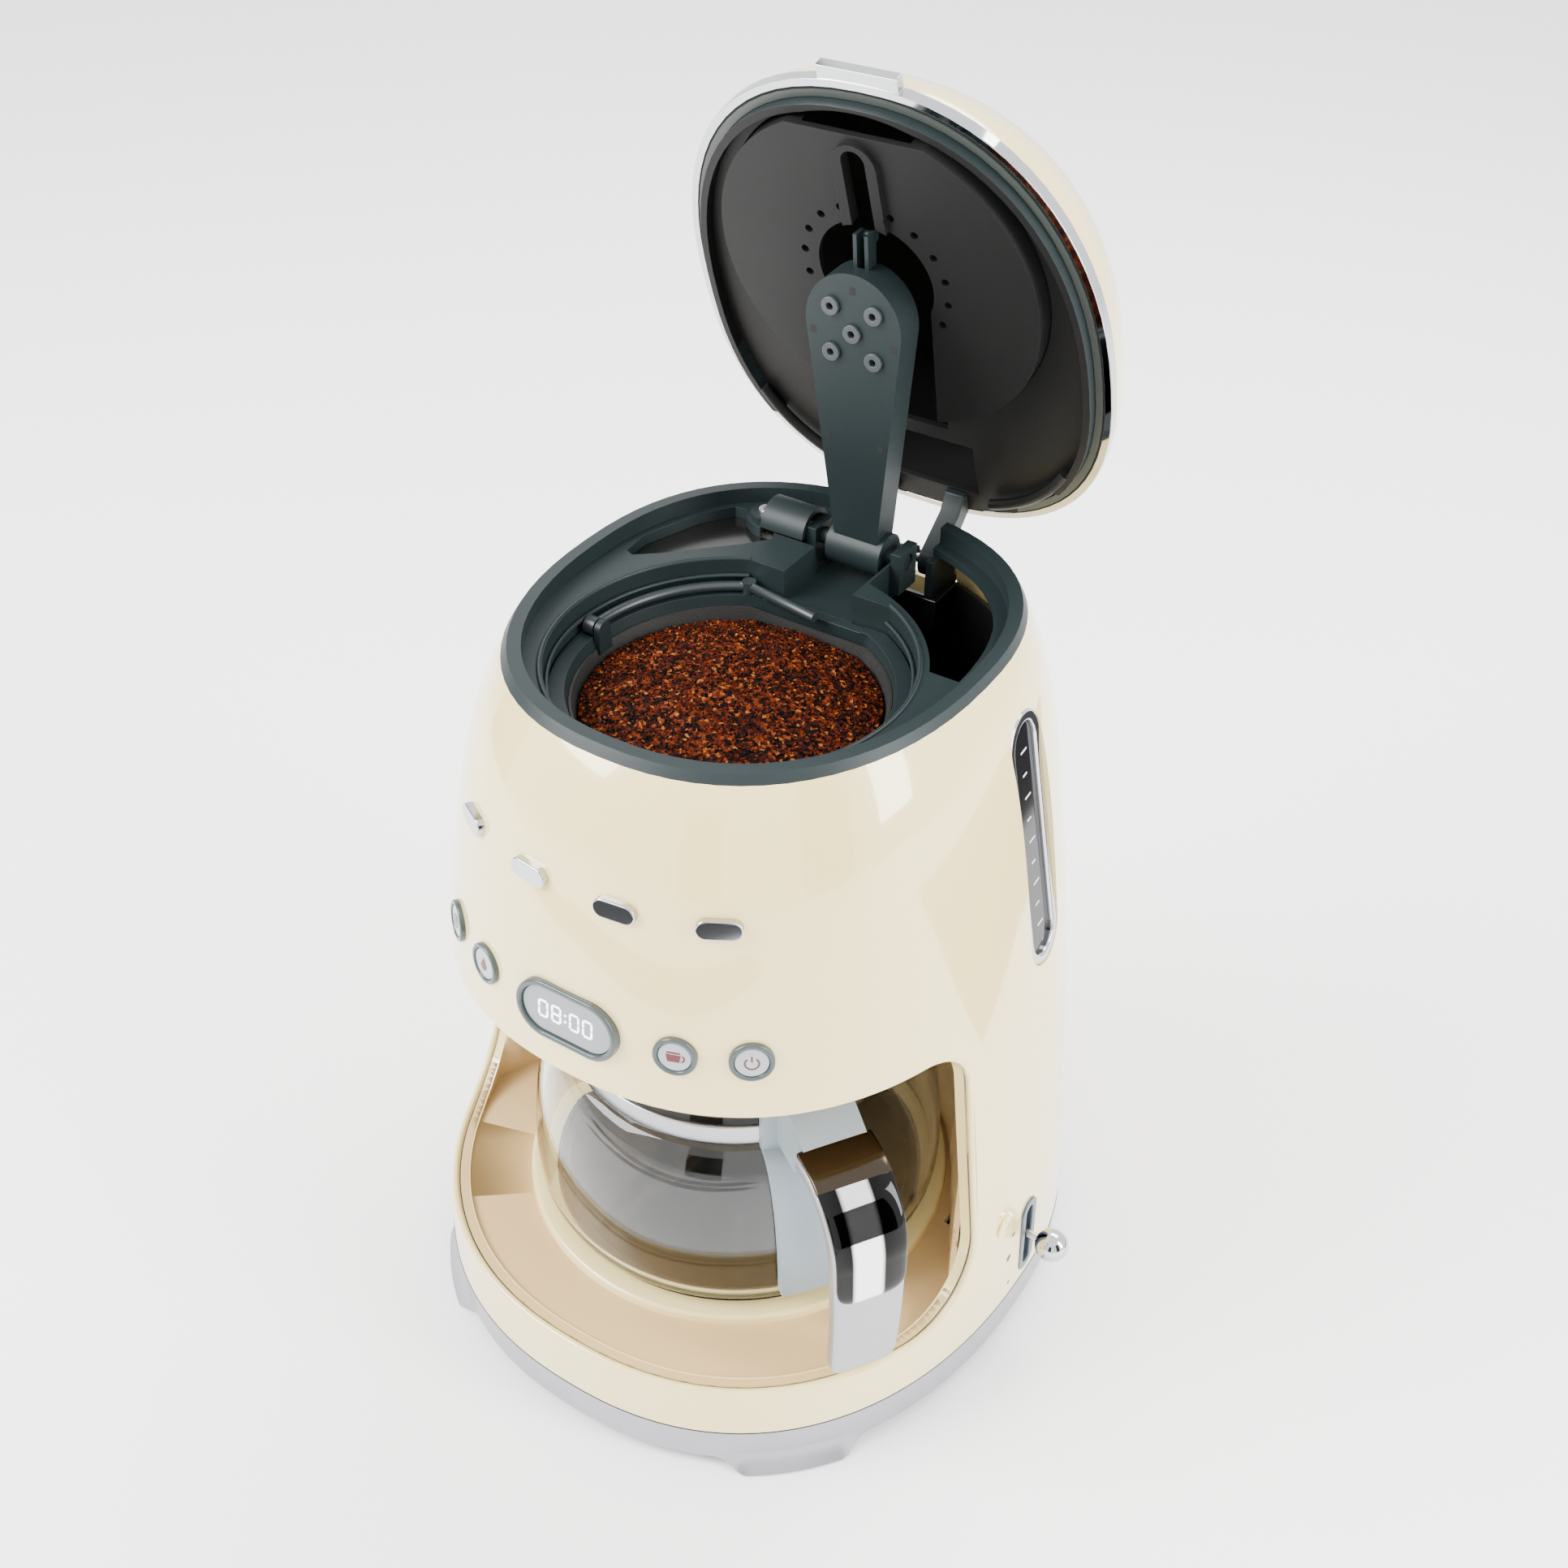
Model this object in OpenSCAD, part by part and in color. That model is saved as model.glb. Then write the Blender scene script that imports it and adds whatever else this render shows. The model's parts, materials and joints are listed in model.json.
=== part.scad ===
// Drip coffee maker: lidded body with a carafe bay, glass carafe and lift-out filter.
// Frame: origin on the table under the middle of the body, front is -Y, right is +X, up is +Z.

/* [Body] */
// Half width of the body where it meets the foot skirt
body_hw = 122.5; // [118:0.5:126]
// Depth of the body in front of the origin, at the skirt
body_front = 143.7; // [138:0.1:148]
// Depth of the body behind the origin, at the skirt
body_back = 101.3; // [98:0.1:108]
// Height of the top edge of the foot skirt
skirt_top = 23; // [20:0.5:26]
// Height of the rim that the lid closes on
rim_z = 296.5; // [294:0.5:300]
// Wall of the outer shell
shell_wall = 2.8; // [2:0.1:3.5]

/* [Carafe bay] */
// Height of the deck that the hotplate sits in
deck_z = 43.5; // [42:0.5:45]
// Height of the ceiling of the bay
bay_top = 180.5; // [178:0.5:183]
// Depth at which the side edges of the bay opening stand
bay_edge_y = -38; // [-42:0.5:-34]
// Radius of the concave back wall of the bay
bay_r = 88; // [86:0.5:90]
// Radius of the hotplate
plate_r = 76; // [70:0.5:78]

/* [Carafe] */
// Distance of the carafe and filter axis from the origin
pot_y = -26; // [-28:0.5:-25]
// Largest radius of the glass
glass_r = 82.5; // [80:0.5:83]
// Radius of the flat glass foot
foot_r = 72; // [66:0.5:74]
// Radius of the neck under the steel band
neck_r = 64.5; // [62:0.5:66]
// Glass wall
glass_wall = 2.4; // [2:0.1:3]
// Direction of the handle, turned from the front towards the right
handle_angle = 56; // [50:1:60]
// Width of the handle strap
strap_w = 26; // [22:1:28]

/* [Filter] */
// Radius of the well that the filter holder drops into
well_r = 61.5; // [61:0.1:62]
// Depth at which the well and the holder are cut flat at the back
well_flat_y = 28.5; // [28:0.1:29]
// Height of the top of the filter holder's flange
flange_z = 280; // [279:0.1:280.2]

/* [Lid] */
// Angle that the lid stands open at rest
lid_open = 70; // [60:1:72]
// Height of the closed lid above the table
lid_top = 361; // [350:1:364]
// Height of the chrome band around the lid
band_h = 4; // [3:0.5:6]
// Depth of the lid's hinge line
hinge_y = 85.9; // [84:0.1:87]
// Height of the lid's hinge line
hinge_z = 275.8; // [274:0.1:277]

/* [Shower arm] */
// Depth of the arm's own pivot
arm_y = 58.5; // [57:0.5:60]
// Height of the arm's own pivot
arm_z = 290; // [289:0.5:291]
// Distance from the pivot to the middle of the spray head
arm_reach = 85; // [82:0.5:88]
// Forward lean of the arm at rest
arm_lean = 4.3; // [3:0.1:5]

/* [Controls] */
// Height of the row of buttons and the display
button_z = 203.5; // [200:0.5:207]
// Outer radius of a button's bezel
bezel_r = 7.5; // [7:0.1:8]
// Travel of a button
button_travel = 1.5; // [1:0.1:2]
// Radius of the ball on the side lever
ball_r = 6.7; // [6:0.1:7]

/* [Hidden] */
$fn = 96;
eps = 0.01;
plan_n = 72;
front_pow = 2.27;
rear_pow = 2.4;
deck_top = 290.5;
well_wall = 2;
floor_z = 40;
arm_front = 5;
arm_back = 6.5;
journal_r = 3;
heater_z = floor_z - 5.5;
tail_x = 11;
tail_end = 38;
tank_out = [40, 74];
riser = [-58, 56];
riser_top = 280.5;
fin_floor = 286.2;
bail_z = 282.2;
lens_tilt = 10.7;
window_l = 103;
window_w = 24;
display_w = 41;
display_h = 23;
lever_plate_l = 40;
lever_plate_w = 12;
inlet_x = -65;
inlet_z = 38;
inlet_r = 7.5;

// ---- Outline of the body ---------------------------------------------------

// Height as a share of the way from the skirt to the rim
function rise(z) = max(0, (z - skirt_top) / (rim_z - skirt_top));
function half_w(z) = body_hw - 33 * pow(rise(z), 1.5) - 10.3 * pow(rise(z), 12);
function front_d(z) = body_front - 32 * rise(z) - 17.8 * pow(rise(z), 12);
function back_d(z) = body_back - 9 * pow(rise(z), 1.2) - 10.1 * pow(rise(z), 12);

// Superellipse with a deeper front than back
function oval(hw, fd, bd, n = plan_n) = [for (i = [0 : n - 1])
    let (c = cos(360 * i / n), s = sin(360 * i / n), e = s < 0 ? front_pow : rear_pow)
    [hw * sign(c) * pow(abs(c), 2 / e), (s < 0 ? fd : bd) * sign(s) * pow(abs(s), 2 / e)]];
function plan(z, inset = 0) = oval(half_w(z) - inset, front_d(z) - inset, back_d(z) - inset);

// Faces that close a stack of m + 1 rings of n points
function stack_faces(n, m) = concat([[for (i = [0 : n - 1]) i]],
    [[for (i = [n - 1 : -1 : 0]) m * n + i]],
    [for (k = [0 : m - 1], i = [0 : n - 1]) [k * n + i, (k + 1) * n + i, (k + 1) * n + (i + 1) % n]],
    [for (k = [0 : m - 1], i = [0 : n - 1])
        [k * n + i, (k + 1) * n + (i + 1) % n, k * n + (i + 1) % n]]);

// Solid body between two heights, drawn in by inset; rings crowd towards the top
module body_loft(z0, z1, inset = 0, m = 12) {
    zs = [for (k = [0 : m]) z0 + (z1 - z0) * (1 - pow(1 - k / m, 1.6))];
    polyhedron([for (z = zs, p = plan(z, inset)) [p[0], p[1], z]], stack_faces(plan_n, m));
}

module plan_slab(z0, z1, inset, at) {
    translate([0, 0, z0]) linear_extrude(z1 - z0) polygon(plan(at, inset));
}

// Extrudes a (Y, Z) outline along X, centred
module along_x(w) {
    rotate([90, 0, 90]) linear_extrude(w, center = true) children();
}

// Cylinder along X, centred at x
module rod_x(r, x, w, y, z) {
    translate([x - w / 2, y, z]) rotate([0, 90, 0]) cylinder(r = r, h = w);
}

module disc(r, z0, z1, y = pot_y) {
    translate([0, y, z0]) cylinder(r = r, h = z1 - z0);
}

module block(lo, hi) {
    translate(lo) cube(hi - lo);
}

// Oblong with round ends, long side along X
module oblong(w, h) {
    translate([-(w - h) / 2, 0]) circle(h / 2);
    translate([(w - h) / 2, 0]) circle(h / 2);
    square([w - h, h], center = true);
}

// Point and slope of the front face at an angle from straight ahead
function face_r(a, z) = 1 / pow(pow(abs(sin(a)) / half_w(z), front_pow)
    + pow(cos(a) / front_d(z), front_pow), 1 / front_pow);
function face_x(a, z) = face_r(a, z) * sin(a);
function face_y(a, z) = -face_r(a, z) * cos(a);
function face_turn(a, z) = sign(a) * atan2(pow(abs(face_x(a, z)), front_pow - 1) / pow(half_w(z), front_pow),
    pow(abs(face_y(a, z)), front_pow - 1) / pow(front_d(z), front_pow));
face_tilt = 6.7;

// Places a piece drawn along +Z on the front face, +Z pointing outwards
module on_face(a, z) {
    translate([face_x(a, z), face_y(a, z), z]) rotate([0, 0, face_turn(a, z)]) rotate([90 - face_tilt, 0, 0])
        children();
}

// Places a piece on the water window, +X pointing outwards and +Z up the window
module at_window() {
    translate([96.2, 14, 227.5]) rotate([0, 0, 4]) rotate([0, -lens_tilt, 0]) children();
}

// Places a piece on the lever's slot plate, +Z pointing outwards
module at_lever() {
    translate([118.5, -1.5, 47]) rotate([0, 88, 0]) children();
}

// ---- Carafe bay ------------------------------------------------------------

// Side view of the bay opening: straight edge with a round corner above and a wide one below
bay_top_r = 20;
bay_low_r = 36;
module bay_side(low) {
    difference() {
        translate([-220, low]) square([220 + bay_edge_y, bay_top - low]);
        translate([bay_edge_y - bay_top_r, bay_top - bay_top_r]) square(bay_top_r + 1);
        translate([bay_edge_y - bay_low_r, low - 1]) square([bay_low_r + 1, bay_low_r + 1]);
    }
    translate([bay_edge_y - bay_top_r, bay_top - bay_top_r]) circle(bay_top_r);
    translate([bay_edge_y - bay_low_r, low + bay_low_r]) circle(bay_low_r);
}

// Plan of the bay: a round back that opens out to the body's sides
module bay_plan(grow = 0) {
    translate([0, pot_y]) circle(bay_r + grow);
    polygon([[-78 - grow, 16], [78 + grow, 16], [106 + grow, bay_edge_y], [130, -90], [130, -220],
        [-130, -220], [-130, -90], [-106 - grow, bay_edge_y]]);
}

module housing_shell() {
    color("#f2ead0") difference() {
        body_loft(skirt_top, rim_z - 3);
        body_loft(skirt_top - 1, rim_z - 2, shell_wall);
        along_x(300) bay_side(45);
        block([-25.05, 62, 266], [25.05, 110, 300]);
        at_window() rotate([90, 0, 90]) translate([0, 0, -12]) linear_extrude(30) rotate(90)
            oblong(window_l + 0.1, window_w + 0.1);
        at_lever() translate([0, 0, -10]) linear_extrude(20) oblong(lever_plate_l + 0.1, lever_plate_w + 0.1);
        on_face(0, button_z) translate([0, 0, -8]) linear_extrude(20) oblong(display_w + 0.1, display_h + 0.1);
        for (a = button_angles) on_face(a, button_z) translate([0, 0, -8]) cylinder(r = bezel_r + 0.02, h = 20);
        translate([inlet_x, 78, inlet_z]) rotate([-90, 0, 0]) cylinder(r = inlet_r + 0.02, h = 40);
    }
}

module bay_liner() {
    color("#ecd9b5") difference() {
        intersection() {
            body_loft(floor_z - 1, bay_top + 3, shell_wall + 0.45, 8);
            union() {
                block([-130, -150, floor_z], [130, 110, deck_z]);
                block([-130, -150, bay_top], [130, 64.5, bay_top + 2.5]);
                translate([0, 0, floor_z]) linear_extrude(bay_top + 1 - floor_z) bay_plan(2.5);
            }
        }
        intersection() {
            body_loft(deck_z, bay_top, shell_wall + 3.5, 8);
            translate([0, 0, deck_z]) linear_extrude(bay_top - deck_z) bay_plan();
        }
        along_x(300) bay_side(45.5);
        disc(plate_r + 0.4, floor_z - 1, deck_z + 1);
        disc(34, bay_top - 1, bay_top + 4);
        block([-90, 66, floor_z - 1], [90, 110, deck_z + 1]);
        translate([riser[0], riser[1], 0]) cylinder(r = 5, h = 200);
        block([90, -12, floor_z - 1], [125, 12, deck_z + 6]);
        block([96, 1, bay_top - 1], [125, 28, bay_top + 4]);
    }
}

module bay_gasket() {
    color("#8f9a94") difference() {
        intersection() {
            body_loft(deck_z, deck_z + 1.6, shell_wall + 3.6, 1);
            block([-130, -150, deck_z], [130, -80, deck_z + 1.6]);
        }
        body_loft(deck_z - 1, deck_z + 3, shell_wall + 5.2, 1);
    }
}

// ---- Base ------------------------------------------------------------------

foot_angles = [-36.5, 36.5, 142, 218];
// Steps of the flare under each foot: bottom, top and distance outside the skirt's outline
foot_steps = [[0.9, 2.6, 4.6], [2.6, 4.3, 3], [4.3, 6.1, 1.4]];

module foot_wedge(a, z0, half_top, half_low) {
    rotate([0, 0, a]) rotate([90, 0, 0]) linear_extrude(170)
        polygon([[-half_top, 6.5], [-half_low, z0], [half_low, z0], [half_top, 6.5]]);
}

module foot_skirt() {
    color("#b9bcc2") difference() {
        union() {
            plan_slab(6, skirt_top, 0.4, skirt_top);
            intersection() {
                union() {
                    plan_slab(0.9, 7, 0.4, skirt_top);
                    for (f = foot_steps) plan_slab(f[0], f[1], -f[2], skirt_top);
                }
                for (a = foot_angles) foot_wedge(a, 0.9, 29, 17.5);
            }
        }
        plan_slab(0, skirt_top + 1, 2.8, skirt_top);
    }
}

module bottom_cover() {
    color("#2b2d2f") difference() {
        plan_slab(6.5, 9, 3, skirt_top);
        for (x = [-30 : 10 : 30]) block([x - 2, -40, 6], [x + 2, 40, 10]);
        for (a = foot_angles) rotate([0, 0, a]) translate([0, -80, 6]) cylinder(r = 2, h = 4);
    }
}

module rubber_feet() {
    color("#303030") for (a = foot_angles) rotate([0, 0, a])
        translate([0, abs(a) < 90 ? -118 : -98, 0]) cylinder(r = 8, h = 6.5);
}

module cover_screws() {
    color("silver") for (a = foot_angles) rotate([0, 0, a]) translate([0, -80, 0]) {
        translate([0, 0, 4.5]) cylinder(r = 3.5, h = 2);
        translate([0, 0, 6.5]) cylinder(r = 1.9, h = 8);
    }
}

module hotplate() {
    color("#8e8b86") {
        disc(plate_r, deck_z - 1.5, deck_z + 2);
        disc(plate_r - 8, floor_z - 1, deck_z - 1.5);
    }
}

module heater_element() {
    color("#a7a9ac") translate([0, pot_y, heater_z]) {
        rotate([0, 0, 102]) rotate_extrude(angle = 336) translate([52, 0]) circle(4.4);
        for (x = [-tail_x, tail_x]) translate([x, 50, 0]) rotate([-90, 0, 0])
            cylinder(r = 3, h = tail_end - pot_y - 50);
    }
}

module thermostat() {
    color("#3a3a3a") {
        disc(12, floor_z - 10, floor_z - 1);
        for (x = [-8, 8]) translate([x - 2, pot_y - 0.4, floor_z - 17]) cube([4, 0.8, 7]);
    }
}

module thermal_fuse() {
    color("#d8d8d0") {
        rod_x(2.6, 0, 22, pot_y - 26, heater_z + 1.9);
        rod_x(0.6, 0, 40, pot_y - 26, heater_z + 1.9);
    }
}

// Silicone hose from the tank down to the heater
module water_hose() {
    color("#d9d5cc") {
        translate([tank_out[0], tank_out[1], heater_z]) cylinder(r = 4, h = tank_low - heater_z);
        translate([tank_out[0], tank_out[1], heater_z]) cylinder(r = 4.6, h = 9.2, center = true);
        rod_x(4, (tank_out[0] + tail_x) / 2, tank_out[0] - tail_x, tank_out[1], heater_z);
        translate([tail_x, tank_out[1], heater_z]) cylinder(r = 4.6, h = 9.2, center = true);
        translate([tail_x, 58, heater_z]) rotate([-90, 0, 0]) cylinder(r = 4, h = tank_out[1] - 58);
    }
}

module check_valve() {
    color("#c86432") translate([tail_x, 58, heater_z]) rotate([90, 0, 0]) {
        cylinder(r = 5, h = 12);
        translate([0, 0, 12]) cylinder(r = 3.2, h = 58 - 12 - tail_end);
    }
}

// Riser that carries hot water up behind the bay to the arm's pivot
module riser_tube() {
    color("#e5e1d8") {
        translate([riser[0], riser[1], heater_z]) cylinder(r = 3.5, h = riser_top - heater_z);
        for (z = [heater_z, riser_top]) translate([riser[0], riser[1], z]) sphere(4);
        rod_x(3.5, (riser[0] - 20) / 2, -20 - riser[0], riser[1], riser_top);
        rod_x(3.5, (riser[0] - tail_x) / 2, -tail_x - riser[0], riser[1], heater_z);
        translate([-tail_x, riser[1], heater_z]) sphere(4);
        translate([-tail_x, tail_end, heater_z]) rotate([-90, 0, 0]) cylinder(r = 3.5, h = riser[1] - tail_end);
    }
}

// ---- Head ------------------------------------------------------------------

module well_plan(grow = 0) {
    intersection() {
        translate([0, pot_y]) circle(well_r + grow);
        translate([-100, -120]) square([200, 120 + well_flat_y + grow]);
    }
}

channel_w = 14;

// Opening over the tank, to the right of the arm's channel and behind the well
module tank_mouth() {
    difference() {
        intersection() {
            polygon(plan(rim_z, 9));
            polygon([[channel_w + 1, 33], [channel_w + 1, 68], [24, 76], [90, 76], [90, 2], [50, 2]]);
        }
        translate([0, pot_y]) circle(well_r + 4);
    }
}

// Plan of the recess beside the well, grown about its middle
fin_mid = [-52, 36];
module fin_plan(grow = 1) {
    polygon([for (p = [[-69, 10], [-70, 22], [-62, 46], [-54, 57], [-49.5, 57.5], [-46.5, 53], [-41, 49.5],
        [-32, 49.5], [-30, 45], [-36, 37], [-57, 15.5], [-65.5, 8.5]]) fin_mid + (p - fin_mid) * grow]);
}

module top_deck() {
    color("#38464a") difference() {
        union() {
            difference() {
                body_loft(rim_z - 3, rim_z, 0, 2);
                plan_slab(rim_z - 4, rim_z + 1, 4.6, rim_z);
            }
            plan_slab(deck_top - 3, rim_z - 3, 3.2, rim_z);
            translate([0, 0, bay_top + 3]) linear_extrude(deck_top - bay_top - 3) well_plan(well_wall);
            block([-channel_w - 2, 29, 276], [channel_w + 1, 70, deck_top]);
            translate([0, 0, fin_floor - 1.2]) linear_extrude(3) fin_plan(1.07);
        }
        translate([0, 0, deck_top]) linear_extrude(4) polygon(plan(rim_z, 4.6));
        translate([0, 0, flange_z - 2.4]) linear_extrude(30) well_plan();
        translate([0, 0, bay_top + 5.5]) linear_extrude(120) intersection() {
            translate([0, pot_y]) circle(well_r - 3);
            translate([-100, -120]) square([200, 120 + well_flat_y - 2]);
        }
        disc(30, bay_top, bay_top + 8);
        translate([0, 0, deck_top - 6]) linear_extrude(20) tank_mouth();
        translate([0, 0, fin_floor]) linear_extrude(20) fin_plan();
        block([-channel_w, 20, 279], [channel_w, 70.5, 300]);
        block([-22, 70, 266], [22, 110, 300]);
        rod_x(9.6, -25, 26, arm_y, arm_z);
        rod_x(journal_r + 0.4, 0, 40, arm_y, arm_z);
        translate([-41, arm_y, deck_top - 4]) cylinder(r = 1.5, h = 5);
    }
}

tank_low = 56;
tank_floor = bay_top + 8;
tank_roof = 264;
tank_top = 275;
tank_wall = 2;

// Plan of the tank above the bay, drawn in by t
module tank_upper(t) {
    difference() {
        intersection() {
            polygon(plan(rim_z - 8, 4 + t));
            translate([-50 + t, 3 + t]) square([142, 100]);
        }
        translate([0, pot_y]) circle(well_r + well_wall + 1 + t);
        translate([-100, -10]) square([100 + channel_w + 4 + t, 43 + t]);
    }
}

// The same plan without the space that the lid's hinge takes
module tank_shoulders(t) {
    difference() {
        tank_upper(t);
        translate([-27 - t, 64 - t]) square([54 + 2 * t, 60]);
    }
}

// Plan of the narrow part that runs down behind the bay
module tank_lower(t) {
    intersection() {
        polygon(plan(bay_top, 4 + t));
        translate([-48 + t, 66 + t]) square([116 - 2 * t, 40]);
    }
}

module tank_level(z0, z1) {
    translate([0, 0, z0]) linear_extrude(z1 - z0) children();
}

module water_tank() {
    t = tank_wall;
    color("#5b6468", 0.6) difference() {
        union() {
            tank_level(tank_floor, tank_roof) tank_upper(0);
            tank_level(tank_floor, tank_top) tank_shoulders(0);
            tank_level(tank_low, tank_floor + t) tank_lower(0);
        }
        tank_level(tank_floor + t, tank_roof - t) tank_upper(t);
        tank_level(tank_floor + t, tank_top + t) tank_shoulders(t);
        tank_level(tank_low + t, tank_floor) tank_lower(t);
        tank_level(tank_floor - t, tank_floor + 2 * t) intersection() {
            tank_lower(t);
            tank_upper(t);
        }
        translate([tank_out[0], tank_out[1], tank_low - 1]) cylinder(r = 3.5, h = t + 2);
    }
}

module tank_valve() {
    color("#c7c2b6") translate([tank_out[0], tank_out[1], tank_low + tank_wall]) {
        cylinder(r = 5, h = 4);
        cylinder(r = 3, h = 9);
    }
}

module window_frame() {
    color("#c9ccd0") at_window() rotate([90, 0, 90]) translate([0, 0, -2.5]) linear_extrude(4.4)
        difference() {
            rotate(90) oblong(window_l, window_w);
            rotate(90) oblong(window_l - 8, window_w - 7.6);
        }
}

module window_lens() {
    color("#3b4448", 0.7) at_window() rotate([90, 0, 90]) translate([0, 0, -2.4]) linear_extrude(2.6)
        rotate(90) oblong(window_l - 8, window_w - 7.6);
}

module hinge_bracket() {
    color("#2f3b3e") {
        for (x = [-23.5, 23.5]) difference() {
            hull() {
                rod_x(5, x, 3, hinge_y, hinge_z);
                block([x - 1.5, 66, hinge_z - 8], [x + 1.5, 70, deck_top - 3]);
            }
            rod_x(2.5, x, 5, hinge_y, hinge_z);
        }
        for (x = [-channel_w - 4, channel_w + 3]) difference() {
            block([x - 2, arm_y - 6, 279], [x + 2, arm_y + 6, arm_z + 5]);
            rod_x(journal_r + 0.05, x, 6, arm_y, arm_z);
        }
    }
}

module hinge_pin() {
    color("silver") rod_x(2.5, 0, 50, hinge_y, hinge_z);
}

module hinge_cover() {
    color("#38464a") {
        intersection() {
            difference() {
                rod_x(9, -29, 18, arm_y, arm_z);
                rod_x(7, -28, 17, arm_y, arm_z);
            }
            block([-60, 30, deck_top + 0.05], [0, 90, 320]);
        }
        translate([-41, arm_y, deck_top]) difference() {
            cylinder(r = 6, h = 1.6);
            translate([0, 0, -1]) cylinder(r = 1.6, h = 4);
        }
    }
}

module hinge_screws() {
    color("silver") translate([-41, arm_y, deck_top + 1.6]) {
        difference() {
            cylinder(r = 3, h = 1.2);
            translate([0, 0, 0.5]) cylinder(r = 1.2, h = 2, $fn = 6);
        }
        translate([0, 0, -2.6]) cylinder(r = 1.5, h = 2.6);
    }
}

// ---- Controls --------------------------------------------------------------

button_angles = [-30, -18.5, 18.5, 30];

module display_bezel() {
    color("#75837f") on_face(0, button_z) translate([0, 0, -4]) linear_extrude(5.8) difference() {
        oblong(display_w, display_h);
        oblong(display_w - 4.4, display_h - 4.4);
    }
}

module display_lens() {
    color("#b9bcc0") on_face(0, button_z) translate([0, 0, -3.4]) linear_extrude(4)
        oblong(display_w - 4.4, display_h - 4.4);
}

module display_panel() {
    color("#1d5b46") on_face(0, button_z) translate([0, 0, -7.4]) linear_extrude(3.2)
        square([34, 16], center = true);
}

module control_board() {
    color("#1f6b45") on_face(0, button_z) translate([0, -2, -20]) {
        translate([-50, -14, 0]) cube([100, 28, 1.6]);
        for (x = [-34, -12, 14, 32]) translate([x, -6, 1.6]) cube([8, 10, 3]);
    }
}

module button_bezels() {
    color("#75837f") for (a = button_angles) on_face(a, button_z) translate([0, 0, -6]) difference() {
        cylinder(r = bezel_r, h = 7.6);
        translate([0, 0, -1]) cylinder(r = bezel_r - 1.7, h = 10);
    }
}

module button(a) {
    color("#c4c7ca") on_face(a, button_z) translate([0, 0, -5]) cylinder(r = bezel_r - 1.78, h = 6.2);
}

module clock_button() { button(button_angles[0]); }
module aroma_button() { button(button_angles[1]); }
module timer_button() { button(button_angles[2]); }
module power_button() { button(button_angles[3]); }

// Four plain chrome lozenges in a row across the front
module front_badges() {
    color("#c9ccd0") for (a = [-25, -8.34, 8.34, 25]) on_face(a, 252.8) translate([0, 0, -1]) {
        linear_extrude(3) oblong(15, 7);
    }
}

lever_x = 96;
lever_z = 47.5;
module lever_plate() {
    color("#5d6d78") at_lever() linear_extrude(3.6) difference() {
        oblong(lever_plate_l, lever_plate_w);
        oblong(lever_plate_l - 7, lever_plate_w - 7);
    }
}

module lever_stem() {
    color("silver") {
        rod_x(1.7, (lever_x + 128) / 2, 128 - lever_x, -1.5, lever_z);
        translate([lever_x, 3.5, lever_z]) rotate([90, 0, 0]) cylinder(r = 4, h = 10);
    }
}

module lever_ball() {
    color("silver") difference() {
        translate([132.5, -1.5, lever_z]) sphere(ball_r);
        rod_x(1.7, 125, 6, -1.5, lever_z);
    }
}

module cord_inlet() {
    color("#26282a") translate([inlet_x, 83, inlet_z]) rotate([-90, 0, 0]) difference() {
        cylinder(r = inlet_r, h = 14);
        translate([0, 0, -1]) cylinder(r = 4, h = 16);
    }
}

// ---- Lid, drawn closed and swung open about its hinge -----------------------

module swing_lid() {
    translate([0, hinge_y, hinge_z]) rotate([-lid_open, 0, 0]) translate([0, -hinge_y, -hinge_z]) children();
}

lid_low = rim_z + 0.7;
dome_low = lid_low + band_h;

// Share of the lid's outline left at a share of the dome's height
function dome_share(u) = pow(1 - pow(u, 1.8), 1 / 1.65);

module dome_solid(drop) {
    m = 12;
    hs = [for (k = [0 : m]) 0.997 * sin(90 * k / m)];
    polyhedron([for (u = hs, p = plan(rim_z, 0.6 + drop))
        [p[0] * dome_share(u), p[1] * dome_share(u) + 12 * u, dome_low + (lid_top - dome_low - drop) * u / 0.997]],
        stack_faces(plan_n, m));
}

module lid_dome() {
    color("#f2ead0") swing_lid() difference() {
        dome_solid(0);
        translate([0, 0, -eps]) dome_solid(2.6);
    }
}

module lid_band() {
    color("#c9ccd0") swing_lid() difference() {
        union() {
            plan_slab(lid_low, dome_low, 0, rim_z);
            block([-14, -97.6, lid_low + 0.4], [14, -90, dome_low]);
        }
        plan_slab(lid_low - 1, dome_low + 1, 2.6, rim_z);
    }
}

module recess_plan(grow) {
    translate([0, arm_y - arm_reach - 2]) circle(20.5 + grow);
    polygon([[-19 - grow, arm_y - arm_reach - 2], [19 + grow, arm_y - arm_reach - 2], [14 + grow, 40],
        [-14 - grow, 40]]);
}

module lid_liner() {
    color("#38464a") swing_lid() difference() {
        union() {
            plan_slab(lid_low + 0.2, lid_low + 2.4, 2.7, rim_z);
            plan_slab(lid_low - 4, lid_low + 0.3, 5.8, rim_z);
        }
        plan_slab(lid_low - 5, lid_low + 0.2, 8.4, rim_z);
        disc(59.4, lid_low - 5, lid_low + 5, -27.3);
        translate([0, 0, lid_low - 5]) linear_extrude(10) recess_plan(0.8);
        block([-channel_w - 12, 40, lid_low - 5], [channel_w + 12, 90, lid_low + 0.2]);
        block([-75, 52, lid_low - 5], [75, 95, lid_low + 0.2]);
        block([-40, 46, lid_low - 5], [24, 69.5, lid_low + 5]);
    }
}

module lid_gasket() {
    color("#5f6b68") swing_lid() difference() {
        plan_slab(lid_low - 0.3, lid_low + 0.2, 3.2, rim_z);
        plan_slab(lid_low - 1, lid_low + 1, 5.6, rim_z);
        block([-40, 60, lid_low - 5], [40, 90, lid_low + 5]);
    }
}

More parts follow.
